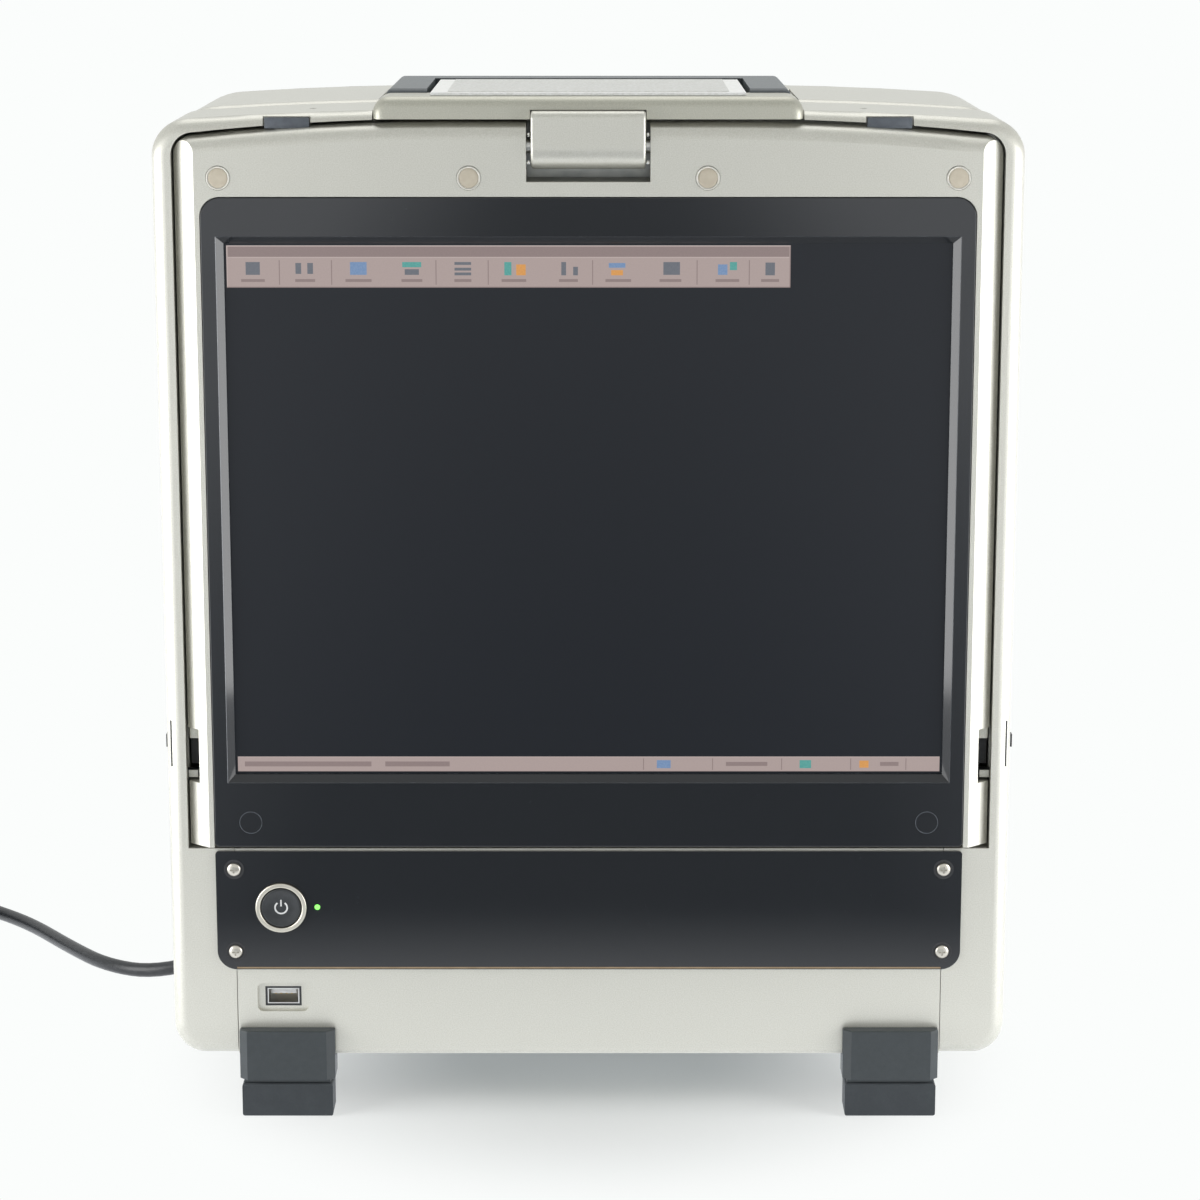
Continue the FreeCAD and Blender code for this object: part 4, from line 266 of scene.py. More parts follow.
def lit_field(name, first, second, strength=1.0):
    """A glowing field: on the panel, the picture's light from the pixels, with their fine unevenness; on
    the window's left edge, a painted glint.
    """
    material, tree, shader = new_material(name, "#0B0C0F", Roughness=0.4, Emission_Strength=strength)
    place = add(tree, "TexCoord").outputs["Object"]
    pixels = add(tree, "TexNoise", {"Vector": place, "Scale": scale_of(0.6), "Detail": 0.0})
    mix = add(tree, "Mix", {"Factor": pixels.outputs["Fac"], "A": linear(first), "B": linear(second)},
              data_type="RGBA")
    tree.links.new(mix.outputs["Result"], shader.inputs["Emission Color"])
    return material


def metal(name, colour, second, rough, grain_mm=0.25, height_mm=0.004):
    """Bare or plated metal: full metal, with fine working marks."""
    material, tree, shader = new_material(name, colour, Metallic=1.0, Roughness=rough[0])
    place = mottle(tree, shader, colour, second, 6)
    grain(tree, shader, place, grain_mm, height_mm, rough=rough)
    return material


def circuit_board():
    """Green solder mask over copper: darker fields with paler lines between them."""
    material, tree, shader = new_material("green_circuit_board", "#1D4A2C", Roughness=0.35)
    place = add(tree, "TexCoord").outputs["Object"]
    tracks = add(tree, "TexBrick", {"Vector": place, "Scale": scale_of(60), "Color1": linear("#1B4529"),
                                    "Color2": linear("#235637"), "Mortar": linear("#2F6B43"),
                                    "Mortar Size": 0.03}, offset=0.37)
    tree.links.new(tracks.outputs["Color"], shader.inputs["Base Color"])
    grain(tree, shader, place, 1.5, 0.05)
    return material


def green_lamp():
    """Clear green lens with a small lit diode behind it."""
    material, tree, shader = new_material("lit_green_lens", "#2FBF3A", Roughness=0.2, Emission_Strength=1.6)
    shader.inputs["Emission Color"].default_value = linear("#8CFF6A")
    place = add(tree, "TexCoord").outputs["Object"]
    grain(tree, shader, place, 0.4, 0.01)
    return material


def quartz_lamp():
    """Pale ceramic holder and quartz bulb of the lamp."""
    material, tree, shader = new_material("pale_quartz", "#E6E3DA", Roughness=0.25)
    place = mottle(tree, shader, "#DEDACF", "#EFEDE6", 3)
    grain(tree, shader, place, 0.8, 0.01)
    return material


paint = satin_silver_paint("satin_silver_paint", "#C4C3B9", "#D0CFC7")
# The top bar has the same paint as the case; this darker copy of it paints the shade on the bar.
shaded_bar_paint = satin_silver_paint("satin_silver_paint_bar_shade", "#AEADA0", "#BAB9AD")
gloss_black = piano_black()
dark_grey = moulded_plastic("dark_grey_polycarbonate", "#2F3538", "#33393C")
black_abs = moulded_plastic("black_abs", "#1B1C1E", "#26272A", 0.5)
button_black = moulded_plastic("satin_black_cap", "#232628", "#2B2E31", 0.4, (0.3, 0.42))
handle_grey = moulded_plastic("handle_polycarbonate", "#50575B", "#585F63", 0.6, (0.36, 0.5))
sole_rubber = rubber("grey_foot_rubber", "#31363A", "#363B3F")
jacket = moulded_plastic("black_cord_pvc", "#1F2124", "#292B2E", 0.5, (0.28, 0.42))
beige = moulded_plastic("beige_cap_plastic", "#D9D0BE", "#D2C8B5", 0.5, (0.4, 0.5))
steel = metal("turned_steel", "#B9B9B6", "#C6C6C3", (0.25, 0.38))
bright_steel = metal("polished_steel", "#D9D9D6", "#E6E6E4", (0.12, 0.24))
sheet_metal = metal("zinc_plated_sheet", "#A9ACAB", "#BEC0BD", (0.35, 0.55), 3, 0.01)
aluminium = metal("bare_aluminium", "#CFD0D0", "#DADBDB", (0.3, 0.45))
brass_metal = metal("brass_posts", "#C9A45C", "#D5B46F", (0.25, 0.35))
screw_steel = metal("bright_screw_steel", "#B4B0A6", "#C0BCB2", (0.26, 0.38))
ring_nickel = metal("satin_nickel_ring", "#BFBBAF", "#C9C5B9", (0.32, 0.42))
bronze = metal("bronze_line", "#8E7B62", "#9A866C", (0.3, 0.4))
rim_silver = moulded_plastic("pale_cap_ring", "#E4E2D8", "#EEECE4", 0.4, (0.3, 0.4))
# Grey over the black bezel's window slopes and round its plugs: painted sheen and glint of edges that catch
# the light.
slope_sheen_grey = moulded_plastic("grey_painted_slope_sheen", "#5B6067", "#656A71", 0.4, (0.25, 0.35))
# A glowing material, though no lamp: the painted glint where the acrylic's left edge catches the light.
edge_glint = lit_field("painted_glint_acrylic_edge", "#D9DCE2", "#B9BEC6", 0.9)
# Dark grey for the slabs in the band's slots: painted shade of the slots.
slot_shade_grey = moulded_plastic("grey_painted_slot_shade", "#5A6068", "#646A72", 0.4)
# Dull black for the rings round the strip screws and the slabs round the front socket: painted shade of the
# screws' sunk seats and of the socket's gap.
recess_shade_black = moulded_plastic("dull_black_painted_recess_shade", "#1D1E21", "#232427", 0.4)
symbol_white = moulded_plastic("pale_symbol_ink", "#D9DADB", "#E3E4E4", 0.3)
gold_contacts = metal("gilt_contacts", "#D9B45A", "#E3C274", (0.2, 0.3))
panel_glass = screen_glass()

FINISHES = {
    "painted_case": paint, "bright_plate": ribbed_aluminium(), "black_gloss": gloss_black,
    "dark_plastic": dark_grey, "rubber": sole_rubber, "beige_cap": beige, "steel": steel,
    "bright_steel": bright_steel, "sheet_steel": sheet_metal, "circuit_board": circuit_board(),
    "bare_aluminium": aluminium, "brass": brass_metal, "led_green": green_lamp(), "cord_jacket": jacket,
    "black_plastic": black_abs, "screen_glass": panel_glass,
}
NODE_FINISHES = {"lamp": quartz_lamp(), "power_button": button_black, "carry_handle": handle_grey,
                 "bezel_plugs": gloss_black, "power_button_ring": ring_nickel, "usb_shell": steel,
                 "usb_tongue": symbol_white, "top_bar": shaded_bar_paint}


def finish_nodes():
    """Give every solid of the frame its finish by its slot, or its own where it has one."""
    slots = {part["node"]: part["material_slot"] for part in frame["record"]["subparts"]}
    for name, obj in frame["nodes"].items():
        obj.data.materials.clear()
        obj.data.materials.append(NODE_FINISHES.get(name, FINISHES[slots[name]]))


finish_nodes()
mains_lead.data.materials.append(jacket)


def select_only(*chosen):
    bpy.ops.object.select_all(action="DESELECT")
    for obj in chosen:
        obj.select_set(True)
    bpy.context.view_layer.objects.active = chosen[0]


def begin(name):
    """Name the primitive just added and put its place into its mesh."""
    obj = bpy.context.object
    obj.name = name
    select_only(obj)
    bpy.ops.object.transform_apply()
    return obj


def pick(obj, test):
    """Select the faces whose centre and normal pass a test, in edit mode."""
    mesh = bmesh.from_edit_mesh(obj.data)
    bpy.ops.mesh.select_all(action="DESELECT")
    for face in mesh.faces:
        if test(face.calc_center_median(), face.normal):
            face.select = True
    bmesh.update_edit_mesh(obj.data)


def outward(obj):
    """Merge doubles, turn the normals out and leave the piece selected in object mode."""
    if bpy.context.mode != "EDIT_MESH":
        select_only(obj)
        bpy.ops.object.mode_set(mode="EDIT")
    bpy.ops.mesh.select_all(action="SELECT")
    bpy.ops.mesh.remove_doubles(threshold=1e-6)
    bpy.ops.mesh.normals_make_consistent(inside=False)
    bpy.ops.object.mode_set(mode="OBJECT")
    select_only(obj)


def done(obj, body, material, angle=35):
    """Close the modelling: normals out, smooth by angle, material and body."""
    outward(obj)
    for modifier in list(obj.modifiers):
        bpy.ops.object.modifier_apply(modifier=modifier.name)
    bpy.ops.object.shade_smooth_by_angle(angle=math.radians(angle))
    obj.data.materials.clear()
    obj.data.materials.append(material)
    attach(obj, body)
    return obj


FACING = {"front": (math.pi / 2, 0, 0), "back": (-math.pi / 2, 0, 0), "down": (math.pi, 0, 0)}
OUTWARD = {"front": -Y, "back": Y, "down": -Z}


def turned(name, place, steps, facing="front", sides=40):
    """A round piece drawn out of a disc; each step is a radius and how far out it lies, in mm."""
    centre = Vector(place) * MM
    out = OUTWARD[facing]
    radius, reach = steps[0]
    bpy.ops.mesh.primitive_circle_add(vertices=sides, radius=radius * MM, fill_type="NGON",
                                      location=centre + out * reach * MM, rotation=FACING[facing])
    obj = begin(name)
    bpy.ops.object.mode_set(mode="EDIT")
    bpy.ops.mesh.select_all(action="SELECT")
    for next_radius, next_reach in steps[1:]:
        bpy.ops.mesh.extrude_region()
        bpy.ops.transform.translate(value=out * (next_reach - reach) * MM)
        size = next_radius / radius
        across = [1 if abs(component) > 0.5 else size for component in out]
        bpy.ops.transform.resize(value=across, center_override=centre)
        radius, reach = next_radius, next_reach
    return obj


def moved_copy(obj, name, shift):
    """The same piece again at another place, with its own mesh."""
    copy = obj.copy()
    copy.data = obj.data.copy()
    copy.name = name
    copy.data.transform(Matrix.Translation(Vector(shift) * MM))
    bpy.context.collection.objects.link(copy)
    return copy


def slab(name, x, y, z, soft=0, segments=2):
    """A block between two places on each axis, its edges bevelled where asked, in mm."""
    centre = [(low + high) / 2 * MM for low, high in (x, y, z)]
    size = [(high - low) * MM for low, high in (x, y, z)]
    bpy.ops.mesh.primitive_cube_add(size=1, location=centre, scale=size)
    obj = begin(name)
    if soft:
        bpy.ops.object.mode_set(mode="EDIT")
        bpy.ops.mesh.select_all(action="SELECT")
        bpy.ops.mesh.bevel(offset=soft * MM, segments=segments, affect="EDGES")
        bpy.ops.object.mode_set(mode="OBJECT")
    return obj


def thicken(obj, thickness, inside=False):
    """Turn the faces of an open sheet one way and give it a thickness, half to each side, in mm."""
    bpy.ops.mesh.select_all(action="SELECT")
    bpy.ops.mesh.normals_make_consistent(inside=inside)
    bpy.ops.object.mode_set(mode="OBJECT")
    thick = obj.modifiers.new("thick", "SOLIDIFY")
    thick.thickness = thickness * MM
    thick.offset = 0
    bpy.ops.object.modifier_apply(modifier="thick")


def as_one(name, pieces):
    """Several simple pieces of one material as one object."""
    if bpy.context.mode == "EDIT_MESH":
        bpy.ops.object.mode_set(mode="OBJECT")
    select_only(*pieces)
    if len(pieces) > 1:
        bpy.ops.object.join()
    pieces[0].name = name
    return pieces[0]


# The outlines of the round pieces, each step a radius and how far out it lies. The pan head screw
# goes from the end of its shank to the crown of its head; its recess is two crossed bars.
PAN_SCREW = [(1.5, -6.6), (1.5, 0), (3.0, 0), (3.0, 0.5), (2.75, 0.95), (2.2, 1.25), (1.2, 1.4),
             (0.1, 1.42)]
SCREW_SINK = [(4.4, 0), (4.4, 0.12), (3.9, 0.14), (3.5, 0.02)]
FOOT_BOLT = [(2.5, -20.5), (2.5, -0.1), (2.3, 0)]
CAP_RIM = [(5.0, 0), (5.0, 2.5), (4.85, 2.68), (4.55, 2.72), (4.3, 2.55), (4.2, 2.2), (0.2, 2.2)]
SCREW_CAP = [(4.12, 2.25), (4.12, 2.42), (3.95, 2.5), (3.0, 2.54), (1.5, 2.56), (0.1, 2.57)]
BUTTON_CAP = [(2.5, -10.6), (2.5, -7.6), (8.9, -7.6), (8.9, 1.75), (8.65, 2.25), (8.2, 2.4), (7.6, 2.3),
              (6.5, 1.95), (4.5, 1.75), (2.0, 1.65), (0.1, 1.65)]
SYMBOL_ARC = [(2.3, 1.72), (3.0, 1.78)]
PLUG_GLINT_RING = [(4.97, -0.05), (4.97, 0.07), (4.72, 0.07), (4.72, -0.04)]
HINGE_SCREW = [(0.8, 0), (0.8, 1.2), (0.5, 1.45), (0.05, 1.5)]
RECESS_LONG, RECESS_WIDE, RECESS_DEEP, RECESS_MIDDLE = 2.9, 0.62, 1.3, 1.35
SIDES = ((-1, "left"), (1, "right"))


def pan_screw(name, place, facing):
    """A pan head screw with a cross recess cut into its head."""
    screw = turned(name, place, PAN_SCREW, facing, 32)
    outward(screw)
    out = OUTWARD[facing]
    for along, beside in ((X, Z), (Z, X)):
        size = along * RECESS_LONG + beside * RECESS_WIDE + Y * RECESS_DEEP
        middle = Vector(place) + out * RECESS_MIDDLE
        bpy.ops.mesh.primitive_cube_add(size=1, location=middle * MM, scale=size * MM)
        arm = begin("recess_arm")
        select_only(screw)
        recess = screw.modifiers.new("recess", "BOOLEAN")
        recess.object = arm
        bpy.ops.object.modifier_apply(modifier="recess")
        bpy.data.objects.remove(arm)
    return screw


def set_of(first, stem, places, node):
    """Copies of a finished piece at the other places; the whole set stands for a node of the case."""
    pieces = [first]
    for number, place in enumerate(places[1:], 2):
        copy = moved_copy(first, f"{stem}_{number}", Vector(place) - Vector(places[0]))
        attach(copy, "case")
        pieces.append(copy)
    for piece in pieces:
        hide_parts(node)


STRIP_FRONT = -85.3
STRIP_SCREWS = [(x, STRIP_FRONT, z) for x in (-155, 155) for z in (74.7, 112.2)]
REAR_SCREWS = [(side * x, 84.1, z) for x, z in ((179.4, 45), (179.4, 234.2), (160, 425))
               for side in (-1, 1)]
FOOT_BOLTS = [(x, y, 15.6) for y in (-51, 51) for x in (-133, 133)]


def strip_screws():
    """Four bright screws at the corners of the control strip, each in a flat dull black ring that paints
    the shade of its sunk seat.
    """
    first = done(pan_screw("strip_screw_1", STRIP_SCREWS[0], "front"), "case", screw_steel)
    set_of(first, "strip_screw", STRIP_SCREWS, "fascia_screws")
    for number, place in enumerate(STRIP_SCREWS, 1):
        sink = turned(f"screw_sink_{number}", place, SCREW_SINK)
        done(sink, "case", recess_shade_black)


def case_fasteners():
    """Six pan head screws in the back panel and the four foot bolts."""
    first = done(pan_screw("rear_screw_1", REAR_SCREWS[0], "back"), "case", steel)
    set_of(first, "rear_screw", REAR_SCREWS, "case_screws")
    bolt = turned("foot_bolt_1", FOOT_BOLTS[0], FOOT_BOLT, "down", 24)
    set_of(done(bolt, "case", steel), "foot_bolt", FOOT_BOLTS, "case_screws")


CAP_PLACES = [(x, -85.6, 413.2) for x in (-154.8, -50, 50, 154.8)]


def top_caps():
    """Four beige screw caps in the display's band, each in its pale moulded ring."""
    for number, place in enumerate(CAP_PLACES, 1):
        rim = turned(f"cap_ring_{number}", place, CAP_RIM)
        done(rim, "display", rim_silver, 50)
        cap = turned(f"screw_cap_{number}", place, SCREW_CAP)
        done(cap, "display", beige, 50)
        for piece in (rim, cap):
            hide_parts("screw_caps")


BUTTON_PLACE = (-134.7, -84.1, 94.9)
SYMBOL_GAP = math.radians(38)  # half the gap at the top of the arc


def power_cap():
    """The dished black cap of the power button with its pale power symbol."""
    cap = turned("power_button_cap", BUTTON_PLACE, BUTTON_CAP, sides=56)
    done(cap, "button", button_black, 50)
    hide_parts("power_button")
    middle = Vector(BUTTON_PLACE) * MM
    arc = turned("power_symbol_arc", BUTTON_PLACE, SYMBOL_ARC, sides=48)
    pick(arc, lambda centre, normal: (centre - middle).xz.length < 2 * MM)
    bpy.ops.mesh.delete(type="FACE")
    pick(arc, lambda centre, normal: abs(math.atan2(*(centre - middle).xz)) < SYMBOL_GAP)
    bpy.ops.mesh.delete(type="FACE")
    thicken(arc, 0.15)
    x, y, z = BUTTON_PLACE
    bar = slab("power_symbol_bar", (x - 0.35, x + 0.35), (y - 1.85, y - 1.6), (z + 0.6, z + 3.6), 0.08)
    symbol = as_one("power_symbol", [arc, bar])
    done(symbol, "button", symbol_white)


# What the lit screen shows, as fields on a 304.8 by 228.6 mm panel: left, right, top, bottom in mm
# from its upper left corner. Each row has its colour and how far it lies before the panel.
SCREEN_LEFT, SCREEN_TOP, SCREEN_FRONT = -152.4, 384.6, -83.4
SCREEN_FIELDS = {
    "menu_field": ("rose", 0.02, [(0, 237.6, 0, 17.8)]),
    "menu_heading": ("plum", 0.04, [(0.6, 237, 0.5, 4.8)]),
    "status_field": ("rose", 0.02, [(0, 304.8, 222, 228.6)]),
    "menu_edges": ("cream", 0.05, [(0, 237.6, 0, 0.4), (0, 0.4, 0, 17.8), (0.6, 237, 4.9, 5.2),
                                   (0, 304.8, 222, 222.3)]),
    "menu_rules": ("plum", 0.05, [(u, u + 0.4, 6.2, 16.6) for u in (22, 44, 88, 110, 154, 198, 220)]
                   + [(237.2, 237.6, 0, 17.8), (0, 237.6, 17.4, 17.8)]
                   + [(u, u + 0.4, 222.8, 228) for u in (176, 206, 236, 266, 290)]),
    "menu_tiles_slate": ("slate", 0.06, [(8, 14, 7, 12.4), (29, 31.4, 7.4, 12), (34, 36.4, 7.4, 12),
                                         (75, 81, 10, 12.4), (96, 103, 7, 8.2), (96, 103, 9.4, 10.6),
                                         (96, 103, 11.4, 12.6), (141, 143, 7, 12.6), (146, 148, 9, 12.6),
                                         (184, 191, 7, 12.4), (227, 231, 7.2, 12.6)]),
    "menu_tiles_blue": ("blue", 0.06, [(52, 59, 7, 12.4), (161, 168, 7.4, 9.4), (207, 211, 8, 12.4),
                                       (182, 188, 223.6, 227.2)]),
    "menu_tiles_teal": ("teal", 0.06, [(74, 82, 7, 9.2), (117, 120, 7, 12.6), (212, 215, 7, 10.4),
                                       (244, 249, 223.6, 227.2)]),
    "menu_tiles_orange": ("orange", 0.06, [(122, 126, 8, 12.6), (162, 167, 10.4, 12.6),
                                           (270, 274, 223.8, 227)]),
    "menu_captions": ("plum", 0.06, [(u - half, u + half, 14.2, 15.4) for u, half in
                                     ((11, 5), (33, 4.2), (55.5, 5.5), (78, 4.4), (99.5, 3.6), (121, 5.2),
                                      (144, 4), (165, 5.4), (187, 4.6), (211, 5), (229, 3.8))]
                      + [(2.4, 26, 1.9, 3.5), (3, 58, 224.2, 226.4), (64, 92, 224.2, 226.4),
                         (212, 230, 224.4, 226.2), (279, 287, 224.4, 226.2)]),
}
SCREEN_COLOURS = {
    "rose": ("lit_rose_field", "#A3938F", "#A99894"),
    "plum": ("lit_plum_field", "#8A7976", "#837371"),
    "cream": ("lit_cream_line", "#BBACA8", "#B3A4A0"),
    "slate": ("lit_slate_tile", "#5C6169", "#686B73"),
    "blue": ("lit_blue_tile", "#5F7FA8", "#7C93B4"),
    "teal": ("lit_teal_tile", "#3F8F8A", "#5AA39A"),
    "orange": ("lit_orange_tile", "#D79A4E", "#C98A45"),
}


def screen_picture():
    """The menu and the status line that light up on the panel."""
    colours = {key: lit_field(*tones) for key, tones in SCREEN_COLOURS.items()}
    for name, (colour, lift, fields) in SCREEN_FIELDS.items():
        front = SCREEN_FRONT - lift - 0.06
        tiles = [slab(f"{name}_{number}", (SCREEN_LEFT + left, SCREEN_LEFT + right), (front, front + 0.02),
                      (SCREEN_TOP - bottom, SCREEN_TOP - top))
                 for number, (left, right, top, bottom) in enumerate(fields)]
        done(as_one(name, tiles), "display", colours[colour])


# The window's half width, foot and head, and how far its slope has grown and come forward at each edge.
WINDOW_HALF, WINDOW_FOOT, WINDOW_HEAD = 304.8 / 2 + 1, 155.0, 385.6
WINDOW_SLOPE = [(1.5, 2.1), (1.75, 2.15), (3.1, 4.45)]
WINDOW_BACK = -83.45
GLINT_FROM = 1.7


def window_sheen():
    """A grey sheet on the slopes of the window, mitred at its corners: painted sheen of the black bezel's
    slopes, with a painted glint along its left edge.
    """
    wide, tall = WINDOW_HALF, (WINDOW_HEAD - WINDOW_FOOT) / 2
    centre = (0, WINDOW_BACK * MM, (WINDOW_HEAD + WINDOW_FOOT) / 2 * MM)
    bpy.ops.mesh.primitive_plane_add(size=2, location=centre, rotation=FACING["front"])
    sheen_sheet = begin("window_slope_sheen")
    bpy.ops.object.mode_set(mode="EDIT")
    bpy.ops.mesh.select_all(action="SELECT")
    bpy.ops.transform.resize(value=(wide * MM, 1, tall * MM), center_override=centre)
    last_grow, last_reach = 0, 0
    for grow, reach in WINDOW_SLOPE:
        bpy.ops.mesh.extrude_region()
        bpy.ops.transform.translate(value=(0, -(reach - last_reach) * MM, 0))
        larger = ((wide + grow) / (wide + last_grow), 1, (tall + grow) / (tall + last_grow))
        bpy.ops.transform.resize(value=larger, center_override=centre)
        last_grow, last_reach = grow, reach
    pick(sheen_sheet, lambda place, normal: abs(normal.y) > 0.9 and (place - Vector(centre)).xz.length < MM)
    bpy.ops.mesh.delete(type="FACE")
    thicken(sheen_sheet, 0.08, inside=True)
    done(sheen_sheet, "display", slope_sheen_grey)
    # The outer left slope gets the glowing material: a painted glint.
    sheen_sheet.data.materials.append(edge_glint)
    for face in sheen_sheet.data.polygons:
        if face.center.x < -(wide + GLINT_FROM) * MM and abs(face.normal.z) < 0.5:
            face.material_index = 1


def strip_line():
    """The thin bronze line along the lower edge of the control strip."""
    y = (STRIP_FRONT - 0.12, STRIP_FRONT)
    line = slab("strip_lower_line", (-154.6, 154.6), y, (66.9, 67.6), 0.04, 1)
    done(line, "case", bronze)


def plug_glints():
    """A fine grey ring round each of the two plugs at the foot of the bezel: a painted glint of the plugs'
    edge.
    """
    for side, name in SIDES:
        rim = turned(f"{name}_plug_glint_ring", (side * 146.9, -87.9, 134.1), PLUG_GLINT_RING, sides=48)
        done(rim, "display", slope_sheen_grey)


def socket_gap():
    """Black slabs between the front socket's shell and the floor of its well: painted shade of the gap
    there.
    """
    left, inner_left, inner_right, right = -142.75, -141.8, -127.8, -126.85
    foot, inner_foot, inner_head, head = 48.75, 49.6, 56.8, 57.65
    y = (-82.08, -81.9)
    sides = [slab("gap_side_1", (left, inner_left), y, (foot, head)),
             slab("gap_side_2", (inner_right, right), y, (foot, head)),
             slab("gap_side_3", (inner_left, inner_right), y, (foot, inner_foot)),
             slab("gap_side_4", (inner_left, inner_right), y, (inner_head, head))]
    done(as_one("front_socket_gap_shade", sides), "case", recess_shade_black)


DATA_SOCKET_LEFT, DATA_SOCKET_STEP = 20, 22


def contacts():
    """Gilt contacts under the tongue of the front socket and under those of the four data sockets."""
    leaves = [slab(f"front_contact_{number}", (x - 0.5, x + 0.5), (-79.9, -71), (53.5, 53.8), 0.1, 1)
              for number, x in enumerate((-138.3, -136.0, -133.6, -131.3))]
    done(as_one("front_socket_contacts", leaves), "case", gold_contacts)
    for number in range(4):
        left = DATA_SOCKET_LEFT + DATA_SOCKET_STEP * number
        tongue = slab(f"data_tongue_{number}", (left + 4, left + 10.5), (72.6, 82), (104.6, 106.2), 0.2, 1)
        done(tongue, "case", black_abs)
        starts = [left + 4.7 + place * 1.45 for place in range(4)]
        gilt = [slab(f"data_contact_{number}_{place}", (x, x + 0.6), (73, 81.8), (104.45, 104.62))
                for place, x in enumerate(starts)]
        done(as_one(f"data_contacts_{number}", gilt), "case", gold_contacts)


def between(side, inner, outer):
    """The low and the high end of a stretch on one side of the middle."""
    return sorted((side * inner, side * outer))


def lock_details():
    """Pale guide blocks over the catch, pale noses on the hooks, and a black slab in the slit above each
    knob that paints the slit's shade.
    """
    for side, name in SIDES:
        x = between(side, 169.5, 173.6)
        guide = slab(f"{name}_catch_guide", x, (-79.2, -68), (169.7, 174.7), 0.3)
        done(guide, "display", paint)
        x = between(side, 170.4, 174.6)
        nose = slab(f"{name}_hook_nose", x, (-78.4, -78.05), (152.0, 155.2), 0.1, 1)
        done(nose, f"{name}_lock", paint)
        x = between(side, 180.7, 181.5)
        # A thin black slab in the slit: painted shade.
        slit = slab(f"{name}_lever_slit_shade", x, (-82.95, -80), (158, 178.5), 0.1, 1)
        done(slit, "case", black_abs)


def band_details():
    """Dark grey slabs in the two slots of the frame's band: painted shade of the slots."""
    for side, name in SIDES:
        x = between(side, 116.6, 135.4)
        shade_slab = slab(f"{name}_band_slot_shade", x, (-83.2, -80.2), (433.4, 437.9), 0.3)
        done(shade_slab, "case", slot_shade_grey)


def hinge_details():
    """Bright screw heads in the gaps at the sides of the hinge block."""
    for side, name in SIDES:
        for row, z in enumerate((419.5, 431)):
            place = (side * 24.95, -84.2, z)
            head = turned(f"{name}_hinge_screw_{row}", place, HINGE_SCREW, sides=16)
            done(head, "case", bright_steel)


strip_screws()
case_fasteners()
top_caps()
power_cap()
screen_picture()
window_sheen()
strip_line()
plug_glints()
socket_gap()
contacts()
lock_details()
band_details()
hinge_details()


def make_world():
    """White all round for what the camera sees and mirrors, much softer for what lights the piece."""
    world = bpy.data.worlds.new("studio")
    bpy.context.scene.world = world
    world.use_nodes = True
    tree = world.node_tree
    background = tree.nodes["Background"]
    path = add(tree, "LightPath").outputs
    seen = add(tree, "Math", {0: path["Is Camera Ray"], 1: path["Is Glossy Ray"]}, operation="MAXIMUM")
    seen = add(tree, "Math", {0: seen.outputs[0], 1: path["Is Transmission Ray"]}, operation="MAXIMUM")
    strength = add(tree, "MapRange", {"Value": seen.outputs[0], "To Min": SKY, "To Max": 1.0})
    tree.links.new(strength.outputs["Result"], background.inputs["Strength"])
    background.inputs["Color"].default_value = linear("#FBFDFC")


def soft_lamp(name, place, aim, size, power):
    """A large soft lamp, so wide and so tall, that looks at a point."""
    bpy.ops.object.light_add(type="AREA", location=place)
    lamp = bpy.context.object
    lamp.name = name
    lamp.data.shape = "RECTANGLE"
    lamp.data.size, lamp.data.size_y = size
    lamp.data.energy = power
    lamp.rotation_euler = (Vector(aim) - Vector(place)).to_track_quat("-Z", "Y").to_euler()


# Where, in metres from the middle, the table fades to white for the camera, and where it turns from
# grey to white for what mirrors it: outward to the sides and back from the front edge.
FADE = (0.05, 0.21)
GREY_ACROSS = (0.16, 0.42)
GREY_BEFORE = (-0.39, -0.29)


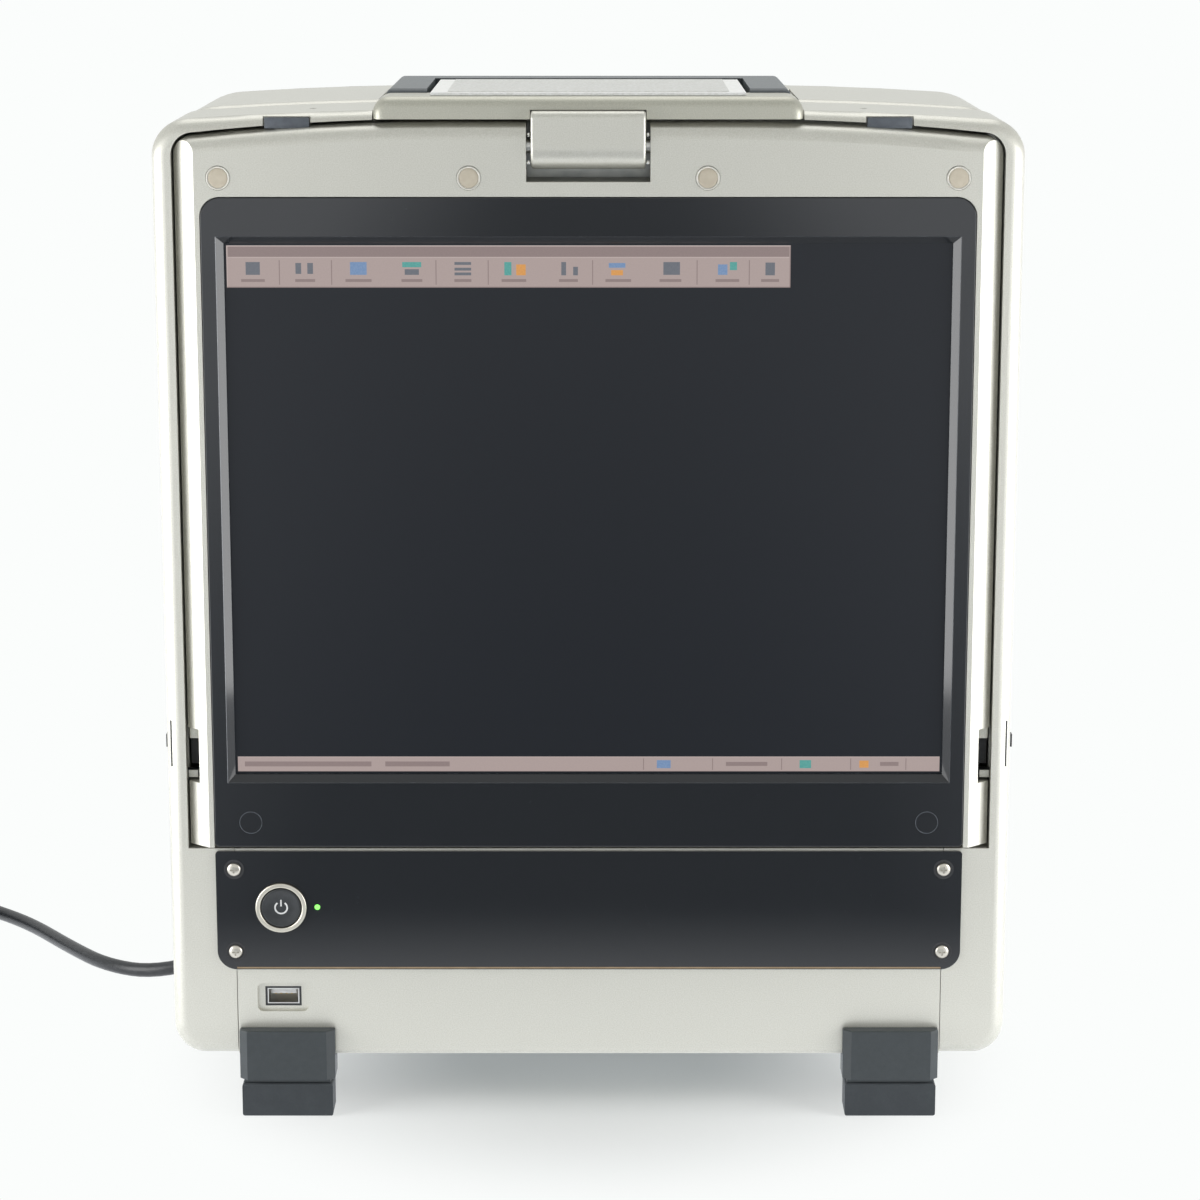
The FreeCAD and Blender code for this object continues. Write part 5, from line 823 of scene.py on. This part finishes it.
def make_floor():
    """A wide pale table: soft shadow near the piece, running out to white, and grey in front of it
    for what the polished black parts mirror."""
    bpy.ops.mesh.primitive_plane_add(size=24, location=(0, 0, 0))
    floor = bpy.context.object
    floor.name = "pale_table"
    material, tree, shader = new_material("pale_table_top", "#EAECEC", Roughness=0.7)
    place = mottle(tree, shader, "#E9EBEB", "#ECEEEE", 400)
    path = add(tree, "LightPath").outputs
    parts = add(tree, "SeparateXYZ", {"Vector": place}).outputs
    far = add(tree, "VectorMath", {0: place}, operation="LENGTH")
    fade = add(tree, "MapRange", {"Value": far.outputs["Value"], "From Min": FADE[0], "From Max": FADE[1],
                                  "To Min": 0.0, "To Max": 1.0}, interpolation_type="SMOOTHSTEP")
    white = add(tree, "Math", {0: fade.outputs["Result"], 1: path["Is Camera Ray"]}, operation="MULTIPLY")
    glow = add(tree, "Emission", {"Color": linear("#FBFDFC"), "Strength": 1.0})
    seen = add(tree, "MixShader", {0: white.outputs[0], 1: shader.outputs["BSDF"],
                                   2: glow.outputs["Emission"]})
    across = add(tree, "Math", {0: parts["X"]}, operation="ABSOLUTE")
    side = add(tree, "MapRange", {"Value": across.outputs[0], "From Min": GREY_ACROSS[0],
                                  "From Max": GREY_ACROSS[1]})
    near = add(tree, "MapRange", {"Value": parts["Y"], "From Min": GREY_BEFORE[0],
                                  "From Max": GREY_BEFORE[1]})
    light = add(tree, "Math", {0: side.outputs["Result"], 1: near.outputs["Result"]}, operation="MAXIMUM")
    tone = add(tree, "Mix", {"Factor": light.outputs[0], "A": linear("#A3A8AE"), "B": linear("#F3F6FA")},
               data_type="RGBA")
    bright = add(tree, "MapRange", {"Value": light.outputs[0], "To Min": 1.0, "To Max": 1.7})
    mirrored = add(tree, "Emission", {"Color": tone.outputs["Result"],
                                      "Strength": bright.outputs["Result"]})
    whole = add(tree, "MixShader", {0: path["Is Glossy Ray"], 1: seen.outputs[0],
                                    2: mirrored.outputs["Emission"]})
    tree.links.new(whole.outputs[0], tree.nodes["Material Output"].inputs["Surface"])
    floor.data.materials.append(material)


SKY = 0.18  # how strongly the white all round lights the piece
make_world()
# Each lamp's place, the point that it looks at and its size in metres, and its power in watts.
for side, name in SIDES:
    soft_lamp(f"{name}_lamp", (side * 0.56, -0.26, 0.22), (side * 0.15, -0.05, 0.15), (0.4, 0.5), 3.0)
soft_lamp("front_lamp", (0, -1.6, 0.5), (0, 0, 0.15), (1.2, 0.6), 0.4)
soft_lamp("top_lamp", (0, 0.5, 1.9), (0, 0.1, 0.4), (1.5, 1.5), 11)
make_floor()
